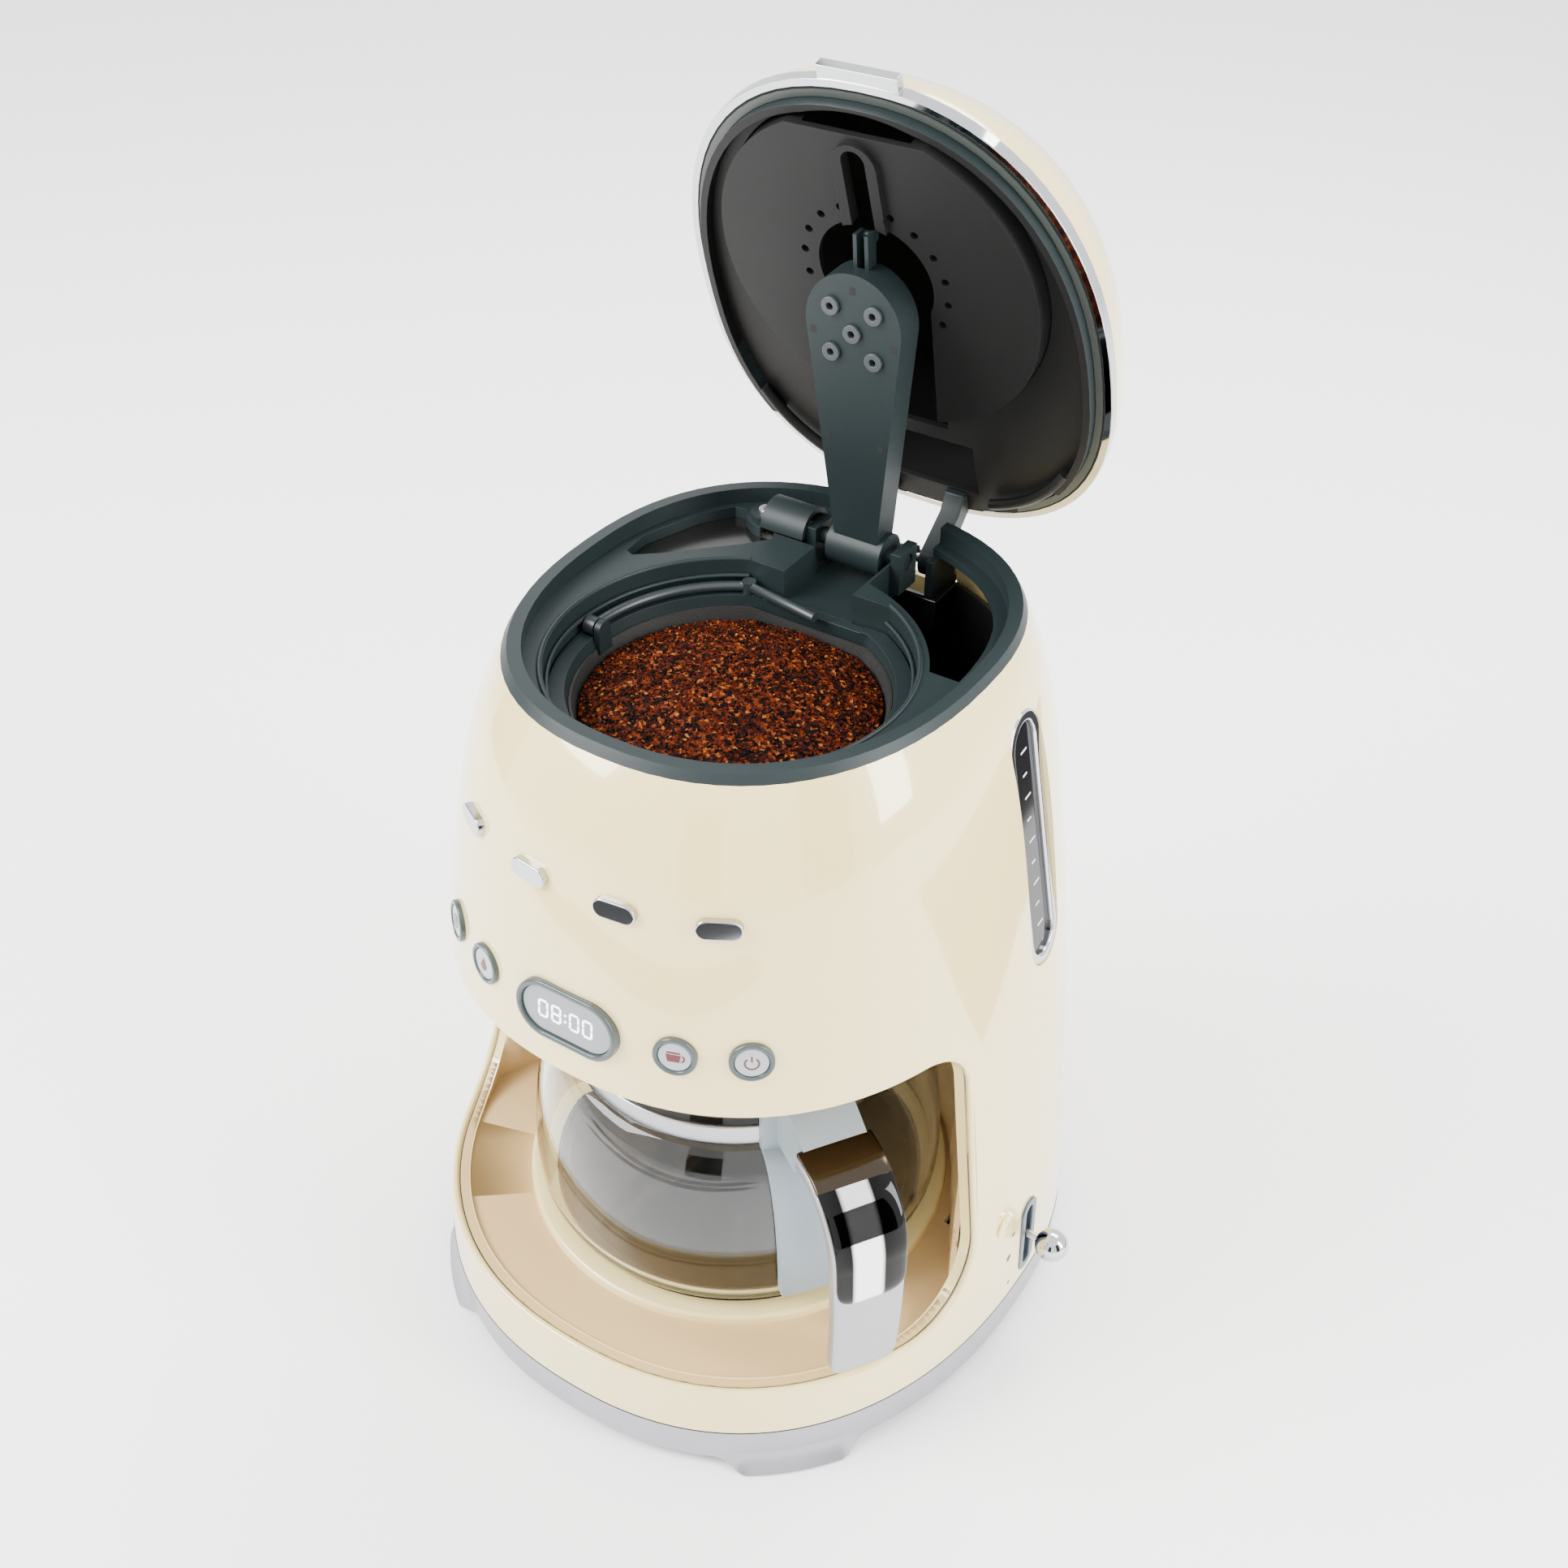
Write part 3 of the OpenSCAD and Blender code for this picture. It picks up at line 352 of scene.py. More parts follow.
shell_rings = [skirt_top + (shell_top - skirt_top) * (1 - (1 - k / 72) ** 1.5) for k in range(73)]
shell_wall_rings = ([(z, 0.0) for z in shell_rings] + [(shell_top + 0.3 * MM, 0.6 * MM)]
                    + [(shell_top + 0.3 * MM, shell_wall - 0.4 * MM)]
                    + [(z, shell_wall) for z in reversed(shell_rings[::3])])
shell_bm = loft(256, shell_wall_rings, lambda turn, ring: plan_point(turn, *ring), closed=True)
shell = piece("shell_cream", shell_bm, "housing_shell", cream, sharp=180)
openings = bmesh.new()
side = [(y, z) for y, z in jamb()] + [(-0.22, bay_roof), (-0.22, bay_floor)]
prism(openings, [(0, y, z) for y, z in side], (1, 0, 0), -0.15, 0.15)
button_turns = [-30, -18.5, 18.5, 30]
button_height, bezel_r = 203.5 * MM, 7.5 * MM
for turn_deg in button_turns:
    plug(openings, arc((0, 0), bezel_r, 0, 350, 35), face_frame(turn_deg, button_height),
         -8 * MM, 12 * MM)
plug(openings, oblong(41.1 * MM, 23.1 * MM), face_frame(0, button_height), -8 * MM, 12 * MM)
plug(openings, oblong(103.1 * MM, 24.1 * MM), window_frame_at, -12 * MM, 18 * MM)
plug(openings, oblong(40.1 * MM, 12.1 * MM), lever_frame_at, -10 * MM, 10 * MM)
inlet_frame_at = (Matrix.Translation((-65 * MM, 78 * MM, 38 * MM))
                  @ Matrix.Rotation(math.radians(-90), 4, "X"))
plug(openings, arc((0, 0), 7.6 * MM, 0, 350, 35), inlet_frame_at, 0, 40 * MM)
hinge_gap = [(62 * MM, 266 * MM), (110 * MM, 266 * MM), (110 * MM, 300 * MM), (62 * MM, 300 * MM)]
prism(openings, [(0, y, z) for y, z in hinge_gap], (1, 0, 0), -25.1 * MM, 25.1 * MM)
cut(shell, openings)
shell.data.shade_smooth()
shell.data.set_sharp_from_angle(angle=math.radians(30))
shell_level = shell.modifiers.new("even", "WEIGHTED_NORMAL")
shell_level.keep_sharp = True

# ---- Rolled edge of the bay --------------------------------------------------
# The shell's sheet is rolled over all round the bay, so that its edge shows as a round
# cream bead. It runs along the deck, up both jambs and under the head in one loop.


def side_x(y, z, inset=0.0):
    """Half width of the body at a depth and height."""
    half, front, back = girth(z, inset)
    power, depth = (front_power, front) if y < 0 else (rear_power, back)
    return half * max(0.0, 1 - (abs(y) / depth) ** power) ** (1 / power)


def front_run(z, y_start, inset, steps=96):
    """Points round the front of the body at a height, from the right side to the left."""
    half, front, _ = girth(z, inset)
    reach = math.asin((abs(y_start) / front) ** (front_power / 2)) / math.tau
    turns = [1 - reach - (0.5 - 2 * reach) * k / steps for k in range(steps + 1)]
    return [plan_point(t, z, inset) for t in turns]


def bay_loop(inset, grow=0.0):
    """The closed path round the bay's edge, at a depth below the shell's outer face."""
    right = [Vector((side_x(y, z, inset), y, z)) for y, z in jamb(grow)]
    left = [Vector((-p.x, p.y, p.z)) for p in right]
    head = front_run(bay_roof + grow, bay_edge - bay_high_r, inset)
    foot = front_run(bay_floor - grow, bay_edge - bay_low_r, inset)
    return right + head[1:-1] + left[::-1] + foot[::-1][1:-1]


def bead(name, points, radius, node, material, cyclic=True):
    """A round bead along a path, on a piece that another mesh already replaces."""
    data = bpy.data.curves.new(name, "CURVE")
    data.dimensions = "3D"
    data.bevel_depth, data.bevel_resolution = radius, 4
    data.use_fill_caps = not cyclic
    spline = data.splines.new("POLY")
    spline.points.add(len(points) - 1)
    for p, q in zip(spline.points, points):
        p.co = (*q, 1)
    spline.use_cyclic_u = cyclic
    line = bpy.data.objects.new(name + "_line", data)
    bpy.context.scene.collection.objects.link(line)
    bm = bmesh.new()
    evaluated = line.evaluated_get(bpy.context.evaluated_depsgraph_get())
    bm.from_mesh(bpy.data.meshes.new_from_object(evaluated))
    bpy.data.objects.remove(line)
    piece(name, bm, node, material, replaces=False, sharp=180)


bead("bay_rolled_edge", bay_loop(1.35 * MM), 1.45 * MM, "housing_shell", cream)

# ---- Bay liner ---------------------------------------------------------------
# A beige moulding that lines the bay: floor, hollow back wall and ceiling. A raised ring
# stands round the hotplate, and a grey seal lies between the liner and the shell.


def from_cad(node, material, edge=0.4 * MM, sharp=35, segments=2):
    """A CAD piece with its loose triangles welded and its edges eased."""
    bm = bmesh.new()
    bm.from_mesh(frame["nodes"][node].data)
    bmesh.ops.remove_doubles(bm, verts=bm.verts, dist=2e-6)
    bmesh.ops.dissolve_limit(bm, angle_limit=math.radians(0.2), verts=bm.verts, edges=bm.edges)
    return piece(node + "_moulded", bm, node, material, edge=edge, sharp=sharp, segments=segments)


beige = textured("beige_moulding", (0.56, 0.38, 0.17), 0.32, grain=1500, bump=0.05, vary=0.02)
from_cad("bay_liner", beige, edge=0)
seal_grey = textured("seal_grey", (0.035, 0.042, 0.036), 0.5, grain=2000, bump=0.1)


def swept(name, loops, node, material, replaces=False, **finish):
    """A closed tube stretched over loops of points, one loop for each of its long edges."""
    bm = bmesh.new()
    runs = []
    for points in loops:
        verts = [bm.verts.new(p) for p in points]
        runs.append([bm.edges.new(pair) for pair in zip(verts, verts[1:] + verts[:1])])
    for a, b in zip(runs, runs[1:] + runs[:1]):
        bmesh.ops.bridge_loops(bm, edges=a + b)
    bmesh.ops.recalc_face_normals(bm, faces=bm.faces)
    piece(name, bm, node, material, replaces=replaces, **finish)


def bay_strip(name, near, far, grow, node, material, **options):
    """A strip round the bay's edge between two depths below the shell's face."""
    corners = ((near, grow), (far, grow), (far, grow + 1.6 * MM), (near, grow + 1.6 * MM))
    return swept(name, [bay_loop(*c) for c in corners], node, material, sharp=50, **options)


bay_strip("bay_seal", 2.5 * MM, 3.4 * MM, 0.1 * MM, "bay_gasket", seal_grey, replaces=True)
bay_strip("liner_flange", 3.3 * MM, 7.0 * MM, -0.35 * MM, "bay_liner", cream)

pot_y = -26 * MM


def turned(points, steps=128):
    """Spins a (radius, z) outline about the carafe's axis into a closed ring or body."""
    bm = bmesh.new()
    verts = [bm.verts.new((r, pot_y, z)) for r, z in points]
    edges = [bm.edges.new((a, b)) for a, b in zip(verts, verts[1:] + verts[:1])]
    bmesh.ops.spin(bm, geom=verts + edges, cent=(0, pot_y, 0), axis=(0, 0, 1), dvec=(0, 0, 0),
                   angle=math.tau, steps=steps, use_merge=True)
    bmesh.ops.remove_doubles(bm, verts=bm.verts, dist=1e-6)
    bmesh.ops.recalc_face_normals(bm, faces=bm.faces)
    return bm


ring_section = ([(77.5 * MM, 43.2 * MM), (77.5 * MM, 46.2 * MM)]
                + arc((84.5 * MM, 45.2 * MM), 1.8 * MM, 90, 10, 6) + [(86.6 * MM, 43.2 * MM)])
piece("deck_ring", turned(ring_section), "bay_liner", cream, replaces=False, sharp=40)

# ---- Foot skirt and underside ------------------------------------------------
# A satin silver moulding closes the foot. Its four feet carry rubber pads, and the
# black bottom cover is screwed up from below.
satin_silver = textured("satin_silver", (0.34, 0.34, 0.37), 0.34, grain=1800, bump=0.06, vary=0.03,
                        Metallic=0.75)
foot_turns = [(-36.5 - 90) / 360 % 1, (36.5 - 90) / 360 % 1, (142 - 90) / 360, (218 - 90) / 360]
skirt_foot, foot_low, flare_top = 6 * MM, 0.9 * MM, 9 * MM


def skirt_point(turn, ring):
    """Point of the skirt; a ring is its share of the way down and its depth. The lower edge
    dips and flares out at each foot."""
    share, inset = ring
    at = math.atan2(*reversed(plan_point(turn, skirt_top).xy)) / math.tau
    away = [abs((at - foot + 0.5) % 1 - 0.5) for foot in foot_turns]
    reach = min(1.0, max(0.0, (12.5 / 360 - min(away)) / (5.0 / 360)))
    dip = reach * reach * (3 - 2 * reach)
    low = skirt_foot + (foot_low - skirt_foot) * dip
    z = skirt_top + (low - skirt_top) * share
    depth = max(0.0, flare_top - z) / (flare_top - foot_low)
    flare = 4.6 * MM * depth ** 1.4 * dip
    p = plan_point(turn, skirt_top, inset - flare)
    return Vector((p.x, p.y, z))


down = [k / 24 for k in range(25)]
skirt_rings = ([(0.0, 1.4 * MM)] + [(q, 0.4 * MM) for q in down]
               + [(q, 2.8 * MM) for q in reversed(down)])
piece("foot_skirt_flared", loft(288, skirt_rings, skirt_point, closed=True), "foot_skirt",
      satin_silver, sharp=50)
seam_black = textured("seam_black", (0.006, 0.007, 0.006), 0.5)
seam_turns = [k / 256 for k in range(256)]
bead("skirt_seam", [plan_point(t, skirt_top, 0.25 * MM) for t in seam_turns], 0.45 * MM,
     "foot_skirt", seam_black)
charcoal = textured("charcoal_moulding", (0.008, 0.008, 0.008), 0.5, grain=1600, bump=0.12,
                    Specular_IOR_Level=0.16)
rubber = textured("rubber", (0.012, 0.012, 0.012), 0.75, grain=1200, bump=0.2)
screw_steel = textured("screw_steel", (0.62, 0.61, 0.60), 0.28, streak=(1, 1, 6), cloud_scale=90,
                       Metallic=1.0)
from_cad("bottom_cover", charcoal, edge=0.3 * MM)
from_cad("rubber_feet", rubber, edge=0.8 * MM)
from_cad("cover_screws", screw_steel, edge=0.3 * MM)

# ---- Hotplate and what lies under it -----------------------------------------
# A pressed steel plate, brushed in circles, over a ring heater with its thermostat,
# fuse, hose, check valve and riser.


def turned_steel(name, colour, rough, centre):
    """Steel brushed in circles: fine grooves round a centre, and spokes of painted highlight, the
    colour made lighter and darker by angle round it.
    """
    material = textured(name, colour, rough, vary=0.03, Metallic=1.0, Anisotropic=0.6)
    nodes, links = material.node_tree.nodes, material.node_tree.links
    shader = nodes["Principled BSDF"]
    place = nodes["Mapping"]
    place.inputs["Location"].default_value = [-c for c in centre]
    split = nodes.new("ShaderNodeSeparateXYZ")
    links.new(place.outputs["Vector"], split.inputs["Vector"])
    turn = nodes.new("ShaderNodeMath")
    turn.operation = "ARCTAN2"
    links.new(split.outputs["Y"], turn.inputs[0])
    links.new(split.outputs["X"], turn.inputs[1])
    flat = nodes.new("ShaderNodeVectorMath")
    flat.operation = "MULTIPLY"
    flat.inputs[1].default_value = (1, 1, 0)
    links.new(place.outputs["Vector"], flat.inputs[0])
    radius = nodes.new("ShaderNodeVectorMath")
    radius.operation = "LENGTH"
    links.new(flat.outputs["Vector"], radius.inputs[0])
    grooves = nodes.new("ShaderNodeTexNoise")
    grooves.noise_dimensions = "1D"
    grooves.inputs["Scale"].default_value = 900
    links.new(radius.outputs["Value"], grooves.inputs["W"])
    relief = nodes.new("ShaderNodeBump")
    relief.inputs["Strength"].default_value = 0.12
    relief.inputs["Distance"].default_value = 0.0001
    links.new(grooves.outputs["Fac"], relief.inputs["Height"])
    links.new(relief.outputs["Normal"], shader.inputs["Normal"])
    # Painted highlight: the colour swings from dark to bright with the angle round the centre, in
    # place of the fan of gloss that brushed steel shows.
    painted_highlight_spokes = nodes.new("ShaderNodeTexNoise")
    painted_highlight_spokes.noise_dimensions = "1D"
    painted_highlight_spokes.inputs["Scale"].default_value = 2.4
    painted_highlight_spokes.inputs["Detail"].default_value = 6
    links.new(turn.outputs["Value"], painted_highlight_spokes.inputs["W"])
    links.new(painted_highlight_spokes.outputs["Fac"], nodes["Mix"].inputs[0])
    nodes["Mix"].inputs[6].default_value = [c * 0.35 for c in colour] + [1]
    nodes["Mix"].inputs[7].default_value = [min(1, c * 2.6) for c in colour] + [1]
    return material


plate_steel = turned_steel("plate_steel", (0.050, 0.041, 0.031), 0.33, (0, pot_y, 0))
plate_section = [(r * MM, z * MM) for r, z in (
    (0, 39), (68, 39), (68, 42), (76, 42), (76, 45), (75.4, 45.5), (71, 45.5), (70.4, 45.1),
    (0, 45.1))]
piece("hotplate_brushed", turned(plate_section), "hotplate", plate_steel, sharp=25)
heater_alloy = textured("heater_alloy", (0.55, 0.56, 0.58), 0.45, grain=700, bump=0.2, Metallic=0.9)
silicone = textured("silicone", (0.72, 0.70, 0.64), 0.45, bump=0.05, Subsurface_Weight=0.1)
ceramic = textured("ceramic", (0.74, 0.74, 0.68), 0.35, bump=0.05)
valve_orange = textured("valve_orange", (0.60, 0.20, 0.05), 0.3, bump=0.04)
board_green = textured("board_green", (0.02, 0.16, 0.07), 0.35, grain=500, bump=0.1,
                       cloud_scale=120, vary=0.3)
for node, material in (
        ("heater_element", heater_alloy), ("thermostat", charcoal), ("thermal_fuse", ceramic),
        ("water_hose", silicone), ("riser_tube", silicone), ("check_valve", valve_orange),
        ("control_board", board_green), ("display_panel", board_green), ("tank_valve", silicone)):
    from_cad(node, material, edge=0.2 * MM)

# ---- Top deck ----------------------------------------------------------------
# A dark grey-green moulding with a fine spark grain. It holds the round well for the
# filter, the mouth over the tank, a shallow recess at the left and the arm's channel.
deep_green = textured("deep_green_moulding", (0.0100, 0.0165, 0.0175), 0.45, grain=2400, bump=0.14,
                      vary=0.06, Specular_IOR_Level=0.28)
from_cad("top_deck", deep_green, edge=0.9 * MM, segments=3)
smoked = textured("smoked_tank", (0.005, 0.005, 0.005), 0.18, bump=0.03)
from_cad("water_tank", smoked, edge=0.4 * MM)
well_r, well_flat = 61.5 * MM, 28.5 * MM
# Painted shade: a near-black card lies on the recess's floor to darken the recess where shade falls.
recess = bmesh.new()
recess_plan = ((-69, 10), (-70, 22), (-62, 46), (-54, 57), (-49.5, 57.5), (-46.5, 53), (-41, 49.5),
               (-32, 49.5), (-30, 45), (-36, 37), (-57, 15.5), (-65.5, 8.5))
prism(recess, [(x * MM, y * MM, 0) for x, y in recess_plan], (0, 0, 1), 285.8 * MM, 286.5 * MM)
bmesh.ops.recalc_face_normals(recess, faces=recess.faces)
piece("recess_painted_shade", recess, "top_deck", smoked, replaces=False)


def flatted(radius, z, flat, steps=72):
    """Points of a circle about the filter's axis, cut straight at the back."""
    height = flat - pot_y
    start = math.degrees(math.asin(min(1, height / radius)))
    return [Vector((x, y, z)) for x, y in arc((0, pot_y), radius, 180 - start, 360 + start, steps)]


well_steps = ((62.6 * MM, 290.3 * MM, 0.9 * MM), (60.6 * MM, 284.5 * MM, 0.8 * MM))
for k, (radius, z, thick) in enumerate(well_steps):
    step_line = flatted(radius, z, well_flat + (radius - well_r))
    bead(f"well_step_{k}", step_line, thick, "top_deck", deep_green, cyclic=False)

# ---- Arm hinge cover, screw and lid hinge ------------------------------------
# The spray arm's barrel runs in two blocks under a half-round cover held by one screw,
# and the lid turns on a steel pin behind it.
from_cad("hinge_bracket", deep_green, edge=0.3 * MM)
from_cad("hinge_cover", deep_green, edge=0.5 * MM)
from_cad("hinge_screws", screw_steel, edge=0.15 * MM)
from_cad("hinge_pin", screw_steel, edge=0.3 * MM)

# ---- Water window ------------------------------------------------------------
# A chromed frame round a smoky pane that shows the level in the tank, with level marks.
chrome = textured("chrome", (0.50, 0.51, 0.53), 0.05, grain=300, vary=0.01, Metallic=1.0)
from_cad("window_frame", chrome, edge=0.9 * MM, segments=3)
pane = textured("smoky_pane", (0.005, 0.005, 0.006), 0.06, vary=0.02, Specular_IOR_Level=0.25)
from_cad("window_lens", pane, edge=0.2 * MM)
print_white = textured("print_white", (0.8, 0.8, 0.8), 0.5, vary=0.02)
marks = bmesh.new()
mark_start, mark_half, mark_pitch = -1 * MM, 0.3 * MM, 9 * MM
for k in range(-4, 5):
    reach = 3.4 * MM if k % 2 == 0 else 2.0 * MM
    low, high = k * mark_pitch - mark_half, k * mark_pitch + mark_half
    plug(marks, [(low, mark_start), (high, mark_start), (high, reach), (low, reach)], window_frame_at,
         0.1 * MM, 0.32 * MM)
bmesh.ops.recalc_face_normals(marks, faces=marks.faces)
piece("window_marks", marks, "window_lens", print_white, replaces=False)

# ---- Controls on the front ---------------------------------------------------
# Four buttons with dark red printed signs, each in a glossy grey-teal bezel, and an
# oblong display with light digits between them.
teal = textured("teal_bezel", (0.045, 0.062, 0.060), 0.22, vary=0.03)
button_grey = textured("button_grey", (0.33, 0.35, 0.38), 0.3, grain=1500, bump=0.05, vary=0.02,
                       Metallic=0.2)
display_grey = textured("display_grey", (0.17, 0.18, 0.20), 0.2, vary=0.03, Coat_Weight=0.8)
digit_white = textured("digit_white", (0.9, 0.95, 0.95), 0.4, vary=0.01,
                       Emission_Color=(0.85, 0.95, 1, 1), Emission_Strength=4.0)
sign_red = textured("sign_red", (0.11, 0.004, 0.008), 0.4, vary=0.05)
from_cad("display_bezel", teal, edge=0.8 * MM, segments=3)
from_cad("display_lens", display_grey, edge=0.5 * MM)
from_cad("button_bezels", teal, edge=0.7 * MM, segments=3)
for node in ("clock_button", "aroma_button", "timer_button", "power_button"):
    from_cad(node, button_grey, edge=0.6 * MM, segments=3)

digit_w, digit_h, stroke, bar_gap = 3.4 * MM, 6.4 * MM, 0.75 * MM, 0.3 * MM
digit_low, digit_high = 0.5 * MM, 0.75 * MM
bars = {"top": (0, 1, 1), "middle": (0, 0, 1), "bottom": (0, -1, 1), "upper_left": (-1, 0.5, 0),
        "upper_right": (1, 0.5, 0), "lower_left": (-1, -0.5, 0), "lower_right": (1, -0.5, 0)}
zero = [b for b in bars if b != "middle"]
display_at = face_frame(0, button_height)
digits = bmesh.new()
for place, lit in ((-9.5, zero), (-4.1, list(bars)), (3.3, zero), (8.7, zero)):
    for bar in lit:
        across, up, flat = bars[bar]
        cx, cy = place * MM + across * digit_w / 2, up * digit_h / 2
        w, h = (digit_w / 2 - bar_gap, stroke / 2) if flat else (stroke / 2, digit_h / 4 - bar_gap)
        plug(digits, [(cx - w, cy - h), (cx + w, cy - h), (cx + w, cy + h), (cx - w, cy + h)],
             display_at, digit_low, digit_high)
for up in (-1.3, 1.3):
    plug(digits, arc((-0.4 * MM, up * MM), 0.5 * MM, 0, 315, 7), display_at, digit_low, digit_high)
bmesh.ops.recalc_face_normals(digits, faces=digits.faces)
piece("display_digits", digits, "display_lens", digit_white, replaces=False)

sign_low, sign_high = 1.1 * MM, 1.32 * MM


def stroke_line(bm, points, width, at):
    """A flat printed line along points."""
    for (x0, y0), (x1, y1) in zip(points, points[1:]):
        run = Vector((x1 - x0, y1 - y0))
        side_step = Vector((-run.y, run.x)).normalized() * width / 2
        ends = [(x0 - side_step.x, y0 - side_step.y), (x1 - side_step.x, y1 - side_step.y),
                (x1 + side_step.x, y1 + side_step.y), (x0 + side_step.x, y0 + side_step.y)]
        plug(bm, ends, at, sign_low, sign_high)


def sign(name, node, turn_deg, draw):
    bm = bmesh.new()
    draw(bm, face_frame(turn_deg, button_height))
    bmesh.ops.recalc_face_normals(bm, faces=bm.faces)
    piece(name, bm, node, sign_red, replaces=False)


def draw_power(bm, at):
    stroke_line(bm, arc((0, -0.2 * MM), 2.3 * MM, 130, 410, 20), 0.5 * MM, at)
    stroke_line(bm, [(0, 0.4 * MM), (0, 2.7 * MM)], 0.5 * MM, at)


def draw_pot(bm, at):
    jug = ((-2.4, -1.8), (1.6, -1.8), (2.1, 1.0), (-2.9, 1.0))
    cover = ((-2.6, 1.5), (1.9, 1.5), (1.9, 2.1), (-2.6, 2.1))
    for outline in (jug, cover):
        plug(bm, [(x * MM, y * MM) for x, y in outline], at, sign_low, sign_high)
    stroke_line(bm, arc((2.1 * MM, -0.2 * MM), 1.2 * MM, 70, -80, 8), 0.5 * MM, at)


def draw_drop(bm, at):
    plug(bm, arc((0, -0.8 * MM), 1.7 * MM, 150, 390, 16) + [(0, 2.7 * MM)], at, sign_low, sign_high)


def draw_clock(bm, at):
    stroke_line(bm, arc((0, 0), 2.4 * MM, 0, 360, 24), 0.5 * MM, at)
    stroke_line(bm, [(0, 1.5 * MM), (0, 0), (1.2 * MM, -0.6 * MM)], 0.45 * MM, at)


sign("sign_clock", "clock_button", -30, draw_clock)
sign("sign_drop", "aroma_button", -18.5, draw_drop)
sign("sign_pot", "timer_button", 18.5, draw_pot)
sign("sign_power", "power_button", 30, draw_power)

# ---- Front badges ------------------------------------------------------------
# Four plain chromed lozenges pressed on the front in place of lettering.
from_cad("front_badges", chrome, edge=0.5 * MM, segments=3)

# ---- Side lever --------------------------------------------------------------
# A polished ball on a thin stem moves up and down in a slotted plate beside the foot.
# A small boss and three marks are embossed in the shell next to it.
plate_blue_grey = textured("plate_blue_grey", (0.05, 0.07, 0.09), 0.3)
from_cad("lever_plate", plate_blue_grey, edge=0.5 * MM, segments=3)
from_cad("lever_stem", screw_steel, edge=0.2 * MM)
ball = bmesh.new()
bmesh.ops.create_uvsphere(ball, u_segments=48, v_segments=32, radius=6.7 * MM)
bmesh.ops.translate(ball, verts=ball.verts, vec=(132.5 * MM, -1.5 * MM, 47.5 * MM))
piece("lever_ball_polished", ball, "lever_ball", chrome, sharp=180)
boss = bmesh.new()
bmesh.ops.create_uvsphere(boss, u_segments=32, v_segments=16, radius=5 * MM)
bmesh.ops.scale(boss, verts=boss.verts, vec=(0.3, 1, 1))
boss_y, boss_z = -21 * MM, 70.6 * MM
bmesh.ops.translate(boss, verts=boss.verts, vec=(side_x(boss_y, boss_z), boss_y, boss_z))
piece("shell_boss", boss, "housing_shell", cream, replaces=False, sharp=180)
mark_grey = textured("mark_grey", (0.04, 0.04, 0.04), 0.4)
lever_marks = bmesh.new()
for y, z, size in ((-13.5, 58.5, 1.0), (-16.3, 47.3, 1.6), (-15.4, 31.3, 0.8)):
    at = (Matrix.Translation((side_x(y * MM, z * MM), y * MM, z * MM))
          @ Matrix.Rotation(math.radians(90), 4, "Y"))
    plug(lever_marks, arc((0, 0), size * MM, 0, 330, 11), at, -0.6 * MM, 0.08 * MM)
bmesh.ops.recalc_face_normals(lever_marks, faces=lever_marks.faces)
piece("lever_marks", lever_marks, "housing_shell", mark_grey, replaces=False)
from_cad("cord_inlet", rubber, edge=0.6 * MM)

# ---- Lid ---------------------------------------------------------------------
# A cream dome with a chrome band round its foot. Inside are the dark liner, a seal and a
# charcoal plate with vents and the slot that the arm's pin rides in. It stands open.
hinge_at = Vector((0, 85.9 * MM, 275.8 * MM))
lid_open = math.radians(-70)
lid_swing = (Matrix.Translation(hinge_at) @ Matrix.Rotation(lid_open, 4, "X")
             @ Matrix.Translation(-hinge_at))
lid_low, band_height, lid_top = rim_height + 0.7 * MM, 4 * MM, 361 * MM
dome_low = lid_low + band_height
dome_steps = 44


def dome_point(turn, ring):
    """Point of the dome; a ring is its share of the height and its drop below the outer skin."""
    share, drop = ring
    u = math.sin(math.radians(90 * share))
    left = (1 - u ** 1.8) ** (1 / 1.65) if share < 1 else 0
    p = plan_point(turn, rim_height, 0.6 * MM + drop)
    z = dome_low + (lid_top - dome_low - drop) * min(1.0, u / 0.997)
    return lid_swing @ Vector((p.x * left, p.y * left + 12 * MM * u, z))


def dome_skin(name, outside, inside, material, replaces):
    """A closed skin of the dome between two depths."""
    shares = [k / dome_steps for k in range(dome_steps + 1)]
    rings = [(q, outside) for q in shares] + [(q, inside) for q in reversed(shares)]
    bm = loft(192, rings, dome_point, closed=True)
    bmesh.ops.remove_doubles(bm, verts=bm.verts, dist=1e-6)
    piece(name, bm, "lid_dome", material, replaces=replaces, sharp=70)


dome_skin("lid_dome_cream", 0.0, 1.2 * MM, cream, True)
dome_skin("lid_dome_inside", 1.25 * MM, 2.5 * MM, charcoal, False)
liner = from_cad("lid_liner", deep_green, edge=0.5 * MM)
liner.data.materials.append(charcoal)
lid_back = lid_swing.inverted()
for face in liner.data.polygons:
    centre = lid_back @ face.center
    half, front, back = girth(rim_height, 8.0 * MM)
    depth = front if centre.y < 0 else back
    if (abs(centre.x) / half) ** front_power + (abs(centre.y) / depth) ** front_power < 1:
        face.material_index = 1
from_cad("lid_plate", charcoal, edge=0.5 * MM)
from_cad("lid_gasket", seal_grey, edge=0)


def lid_line(radius, centre_y, front_y, z, gap, steps=48):
    """A line round the lid's plate: straight at the front, open over a gap at the back."""
    start = math.degrees(math.asin((front_y - centre_y) / radius))
    points = (arc((0, centre_y), radius, 90 + gap, 180 - start, steps)
              + arc((0, centre_y), radius, start, 90 - gap, steps))
    return [lid_swing @ Vector((x, y, z)) for x, y in points]


